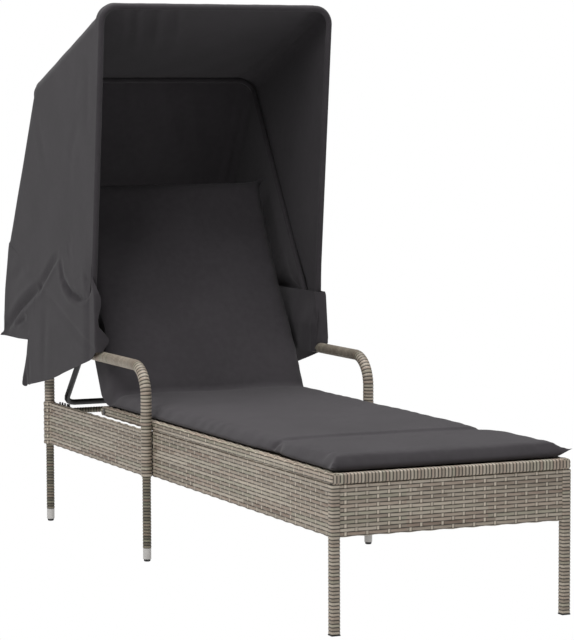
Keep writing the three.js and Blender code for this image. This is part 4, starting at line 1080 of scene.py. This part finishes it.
def padMesh(name, m):
    # Both faces of the pad on one grid: the outline is drawn in between the corners and at the seam,
    # and the height rises steeply from the sewn edge to a shoulder.
    start, end = m["from"], mattressLength(m)
    # steps by the sine, so that they are close at the edges
    u, v = (np.sin(np.linspace(-0.5, 0.5, count) * math.pi * span) / math.sin(0.5 * span * math.pi)
            for count, span in zip(m["steps"], (0.94, 0.97)))
    u, v = np.meshgrid(u, v, indexing="ij")
    length = end - start
    y = (start + end) / 2 + length / 2 * v - np.sign(v) * np.abs(v) ** 9 * m["drawIn"] * (1 - np.abs(u) ** 6)
    half = padHalf(m, y)
    pull = m["drawIn"] * (1 - np.abs(v) ** 10) + m["pinch"] * bell(y - m["seam"] - 0.01, 0.07)
    x = half * u - np.sign(u) * np.abs(u) ** 3 * pull
    gap = np.minimum(half * (1 - np.abs(u)), length / 2 * (1 - np.abs(v)))
    rounding = np.clip(gap / m["round"], 0, 1) ** 0.66
    crown = m["crown"] * (1 - u ** 4) * (1 - v ** 8) + m["footRise"] * (1 - smoothStep((y - m["seam"] + 0.12) / 0.09))
    top = m["edge"] + ((m["thickness"] - m["edge"]) * rounding + crown * rounding)
    under = m["edge"] + (-m["edge"] * np.minimum(1, rounding * 1.5) + m["floor"])
    upper, lower = (np.stack([x, y, z], -1) for z in (top, under))
    ring = np.concatenate([upper, lower[:, -2:0:-1]], axis=1)
    return addShell(name, [gridShell(ring, np.zeros((ring.shape[0], ring.shape[1] + 1, 2)))], 180)


def coordinates(obj):
    co = np.empty(len(obj.data.vertices) * 3, np.float32)
    obj.data.vertices.foreach_get("co", co)
    return co.reshape(-1, 3).astype(float)


def setCoordinates(obj, co):
    obj.data.vertices.foreach_set("co", np.asarray(co, np.float32).ravel())
    obj.data.update()


def applyModifiers(obj):
    bpy.context.view_layer.update()
    graph = bpy.context.evaluated_depsgraph_get()
    mesh = bpy.data.meshes.new_from_object(obj.evaluated_get(graph))
    obj.modifiers.clear()
    old = obj.data
    obj.data = mesh
    bpy.data.meshes.remove(old)
    mesh.polygons.foreach_set("use_smooth", np.ones(len(mesh.polygons), bool))


def swell(obj, m):
    # voxel remesh, then cloth under pressure with no gravity; no point moves further than the cap
    remesh = obj.modifiers.new("remesh", "REMESH")
    remesh.mode = "VOXEL"
    remesh.voxel_size = m["voxel"]
    applyModifiers(obj)
    before = coordinates(obj)
    cloth = obj.modifiers.new("cloth", "CLOTH")
    for key, value in m["cloth"].items():
        setattr(cloth.settings, key, value)
    cloth.settings.effector_weights.gravity = 0
    cloth.point_cache.frame_start, cloth.point_cache.frame_end = 1, m["frames"]
    for k in range(1, m["frames"] + 1):
        bpy.context.scene.frame_set(k)
    applyModifiers(obj)
    bpy.context.scene.frame_set(1)
    move = coordinates(obj) - before
    size = np.linalg.norm(move, axis=1, keepdims=True)
    after = before + move * np.minimum(1, m["cap"] / np.maximum(size, 1e-9))
    after[:, 2] = np.maximum(after[:, 2], np.minimum(before[:, 2], m["floor"]))
    setCoordinates(obj, after)
    print("scene: swelled", obj.name, len(before), "points, most", round(float(size.max()) * 1000, 1), "mm")


def dressPad(obj, m):
    # corner ears, the transverse seam with its fork at the edges, and soft wrinkles
    co = coordinates(obj)
    x, y, z = co.T.copy()
    start, end, half = m["from"], mattressLength(m), padHalf(m, y)
    above = smoothStep((z - m["edge"]) / 0.012)
    u = np.abs(x) / half
    for endY, sign in ((start, -1), (end, 1)):
        # the ear at the left of the foot end is flatter
        near = np.hypot(np.abs(x) - padHalf(m, endY), y - endY)
        pull = bell(near, m["earRound"]) * np.where((x < 0) & (sign < 0), m["leftFootEar"], 1)
        co[:, 0] += np.sign(x) * pull * m["ear"]
        co[:, 1] += sign * pull * 0.004
        co[:, 2] += pull * (m["earHeight"] - z) * 0.8
    # the seam's valley: a long slope down from the foot end and a short steep wall behind it
    groove = bell(y - m["seam"], np.where(y < m["seam"], m["seamSlope"], m["seamWall"]))
    co[:, 2] -= m["seamDepth"] * groove * above * (1 - smoothStep((u - 0.78) / 0.16))
    for side in (-1, 1):
        # at its ends the seam runs on down the side, and a second crease leaves it towards the foot end
        outwards = side * x - half * 0.86
        for slope, depth in m["seamEnds"]:
            crease = bell(y - m["seam"] - slope * np.maximum(outwards, 0), 0.010) * smoothStep(outwards / 0.012)
            co[:, 2] -= depth * crease * above
            co[:, 0] -= side * depth * 0.8 * crease
    # broad unevenness, and short puckers along the sewn edges
    rim = smoothStep((u - 0.8) / 0.15) * (1 - smoothStep((u - 0.97) / 0.03))
    co[:, 2] += 0.001 * rim * np.sin(y * 95 + 2 * np.sin(y * 17)) * above
    co[:, 2] += 0.0014 * ripple(x * 0.7, y * 0.7, 5) * above
    # the cloth is slack where the pad folds up: a soft hollow with shallow ridges
    fold = bell(y - m["seatEnd"] - m["bend"] * backrest["angle"] * 0.45, 0.03)
    co[:, 2] -= 0.004 * fold * above * (0.6 + 0.4 * np.cos(x * 21))
    setCoordinates(obj, co)


def flatPairs(obj):
    # the flat pad's own (x, y) in metres, kept as a UV map for the weave
    mesh = obj.data
    corner = np.empty(len(mesh.loops), np.int64)
    mesh.loops.foreach_get("vertex_index", corner)
    co = coordinates(obj)
    layer = mesh.uv_layers.new(name="strands")
    layer.data.foreach_set("uv", co[corner, :2].astype(np.float32).ravel())


def bendPad(obj, m):
    # Seat part as it is, then an arc about a line above the hinge, then straight up the backrest.
    # The arc has the bend radius at the pad's middle height.
    x, s, h = coordinates(obj).T
    angle, start, radius = backrest["angle"], m["seatEnd"], m["bend"]
    arc = radius * angle
    # beside the backrest's frame the pad's sides hang over, most near the hinge
    low = smoothStep((s - start - arc + 0.05) / 0.07) * (1 - smoothStep((s - start - arc - 0.22) / 0.2))
    side = smoothStep((np.abs(x) - 0.2735) / 0.006)
    h = h - m["droop"] * low * side * (1 - smoothStep((h - 0.008) / 0.018))
    x = x + np.sign(x) * 0.002 * low * side
    centreZ = seatTop + m["lift"] + m["thickness"] / 2 + radius
    turn = np.clip((s - start) / radius, 0, angle)
    past = np.maximum(s - start - arc, 0)
    arm = radius - (h - m["thickness"] / 2)
    y = np.minimum(s, start) + arm * np.sin(turn) + past * np.cos(turn)
    z = centreZ - arm * np.cos(turn) + past * np.sin(turn)
    setCoordinates(obj, np.stack([x, y + footEnd, z], 1))


def buildMattress(m):
    obj = padMesh("lounger_mattress", m)
    swell(obj, m)
    dressPad(obj, m)
    smooth = obj.modifiers.new("smooth", "SUBSURF")
    smooth.levels = smooth.render_levels = 1
    applyModifiers(obj)
    flatPairs(obj)
    bendPad(obj, m)
    dress(obj, cushionCloth)
    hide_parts("seat_cushion", "backrest_cushion")
    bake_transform(obj)
    top = coordinates(obj)[:, 2]
    print("scene: mattress", len(top), "points, from", round(float(top.min()), 4), "to", round(float(top.max()), 4))


cushionCloth = clothFinish("mattress cloth", (61, 58, 61), 0.0011)
seatTop = boxOf("seat_frame")[1][2]
buildMattress(mattress)


# Finishes of the CAD pieces that show as they are
def paintedFinish(name, colour, roughness, grain, metallic=0.0):
    # powder coat, zinc or moulded plastic: fine grain, faint patches of gloss, a little wear
    f = Finish(name, Metallic=metallic)
    place = f.objectPlace()
    fine = f.noise(place, 1400.0, 2.0)
    patch = f.noise(place, 18.0, 3.0)
    base = linear(colour)
    wearAndShade = tuple(np.minimum(np.multiply(base[:3], 1.6) + 0.01, 1)) + (1.0,)
    f.set("Base Color", f.mix(patch.ramp(0.35, 0.75) * 0.25, base, wearAndShade))
    f.set("Roughness", roughness + 0.15 * (patch - 0.5))
    f.bump(fine, grain, 0.5)
    return f.material


slotFinish = {
    "black_steel": paintedFinish("black powder coat", (24, 24, 26), 0.42, 0.00008),
    "zinc_steel": paintedFinish("dark zinc", (92, 90, 86), 0.42, 0.00002, metallic=1.0),
    "grey_sleeve": paintedFinish("grey sleeve", (182, 180, 177), 0.38, 0.00002),
    "black_plastic": paintedFinish("black plastic", (18, 18, 19), 0.5, 0.00006),
    "wicker": wickerLooks["wrapped"][1], "wicker_dark": wickerLooks["dull wrapped"][1],
}
for part in frame["record"]["subparts"]:
    node = frame["nodes"][part["node"]]
    if not node.hide_render:
        node.data.materials.clear()
        node.data.materials.append(slotFinish[part["material_slot"]])


# Floor, light and world: a pale floor that glows and lights the undersides; each lamp's name, place,
# target, size and power
white = (1, 1, 1, 1)
studio = {
    "floorReach": 30, "floorGlow": 0.8, "floorColour": 0.12, "seen": 1.0, "worldLight": 0.2,
    "lamps": (
        ("key", (-4.0, -2.2, 4.2), (0, 0.1, 0.4), 3.0, 165.0),
        ("top", (0.4, 0.2, 5.2), (0, 0.1, 0.3), 3.5, 270.0),
        ("front", (1.3, -6.5, 0.5), (0, 0.2, 0.9), 2.0, 22.0),
    ),
}


def whiteSeen(tree, lit, kind, output, strength):
    # the camera sees plain white, as in a cut-out photograph; every other ray meets the lit shader
    seen = tree.nodes.new(kind)
    seen.inputs["Color"].default_value = white
    seen.inputs["Strength"].default_value = strength
    path = tree.nodes.new("ShaderNodeLightPath")
    pick = tree.nodes.new("ShaderNodeMixShader")
    tree.links.new(path.outputs["Is Camera Ray"], pick.inputs[0])
    tree.links.new(lit, pick.inputs[1])
    tree.links.new(seen.outputs[0], pick.inputs[2])
    tree.links.new(pick.outputs[0], output.inputs["Surface"])


def buildStudio(p):
    r = p["floorReach"]
    floor = linkMesh("floor", [(-r, -r, 0), (r, -r, 0), (r, r, 0), (-r, r, 0)], [(0, 1, 2, 3)])
    f = Finish("floor", Roughness=0.9, Base_Color=(p["floorColour"],) * 3 + (1,), Specular_IOR_Level=0.0,
               Emission_Color=white, Emission_Strength=p["floorGlow"])
    whiteSeen(f.tree, f.shader.outputs[0], "ShaderNodeEmission", f.tree.nodes["Material Output"], p["seen"])
    floor.data.materials.append(f.material)
    world = bpy.data.worlds.new("studio")
    world.use_nodes = True
    tree = world.node_tree
    light = tree.nodes["Background"]
    light.inputs["Strength"].default_value = p["worldLight"]
    light.inputs["Color"].default_value = white
    whiteSeen(tree, light.outputs[0], "ShaderNodeBackground", tree.nodes["World Output"], p["seen"])
    bpy.context.scene.world = world
    for name, place, target, size, power in p["lamps"]:
        data = bpy.data.lights.new(name, "AREA")
        data.size = size
        data.energy = power
        lamp = bpy.data.objects.new(name, data)
        bpy.context.scene.collection.objects.link(lamp)
        aim = (Vector(target) - Vector(place)).to_track_quat("-Z", "Y").to_matrix().to_4x4()
        lamp.matrix_world = Matrix.Translation(place) @ aim


buildStudio(studio)
bpy.context.scene.view_settings.view_transform = "Standard"
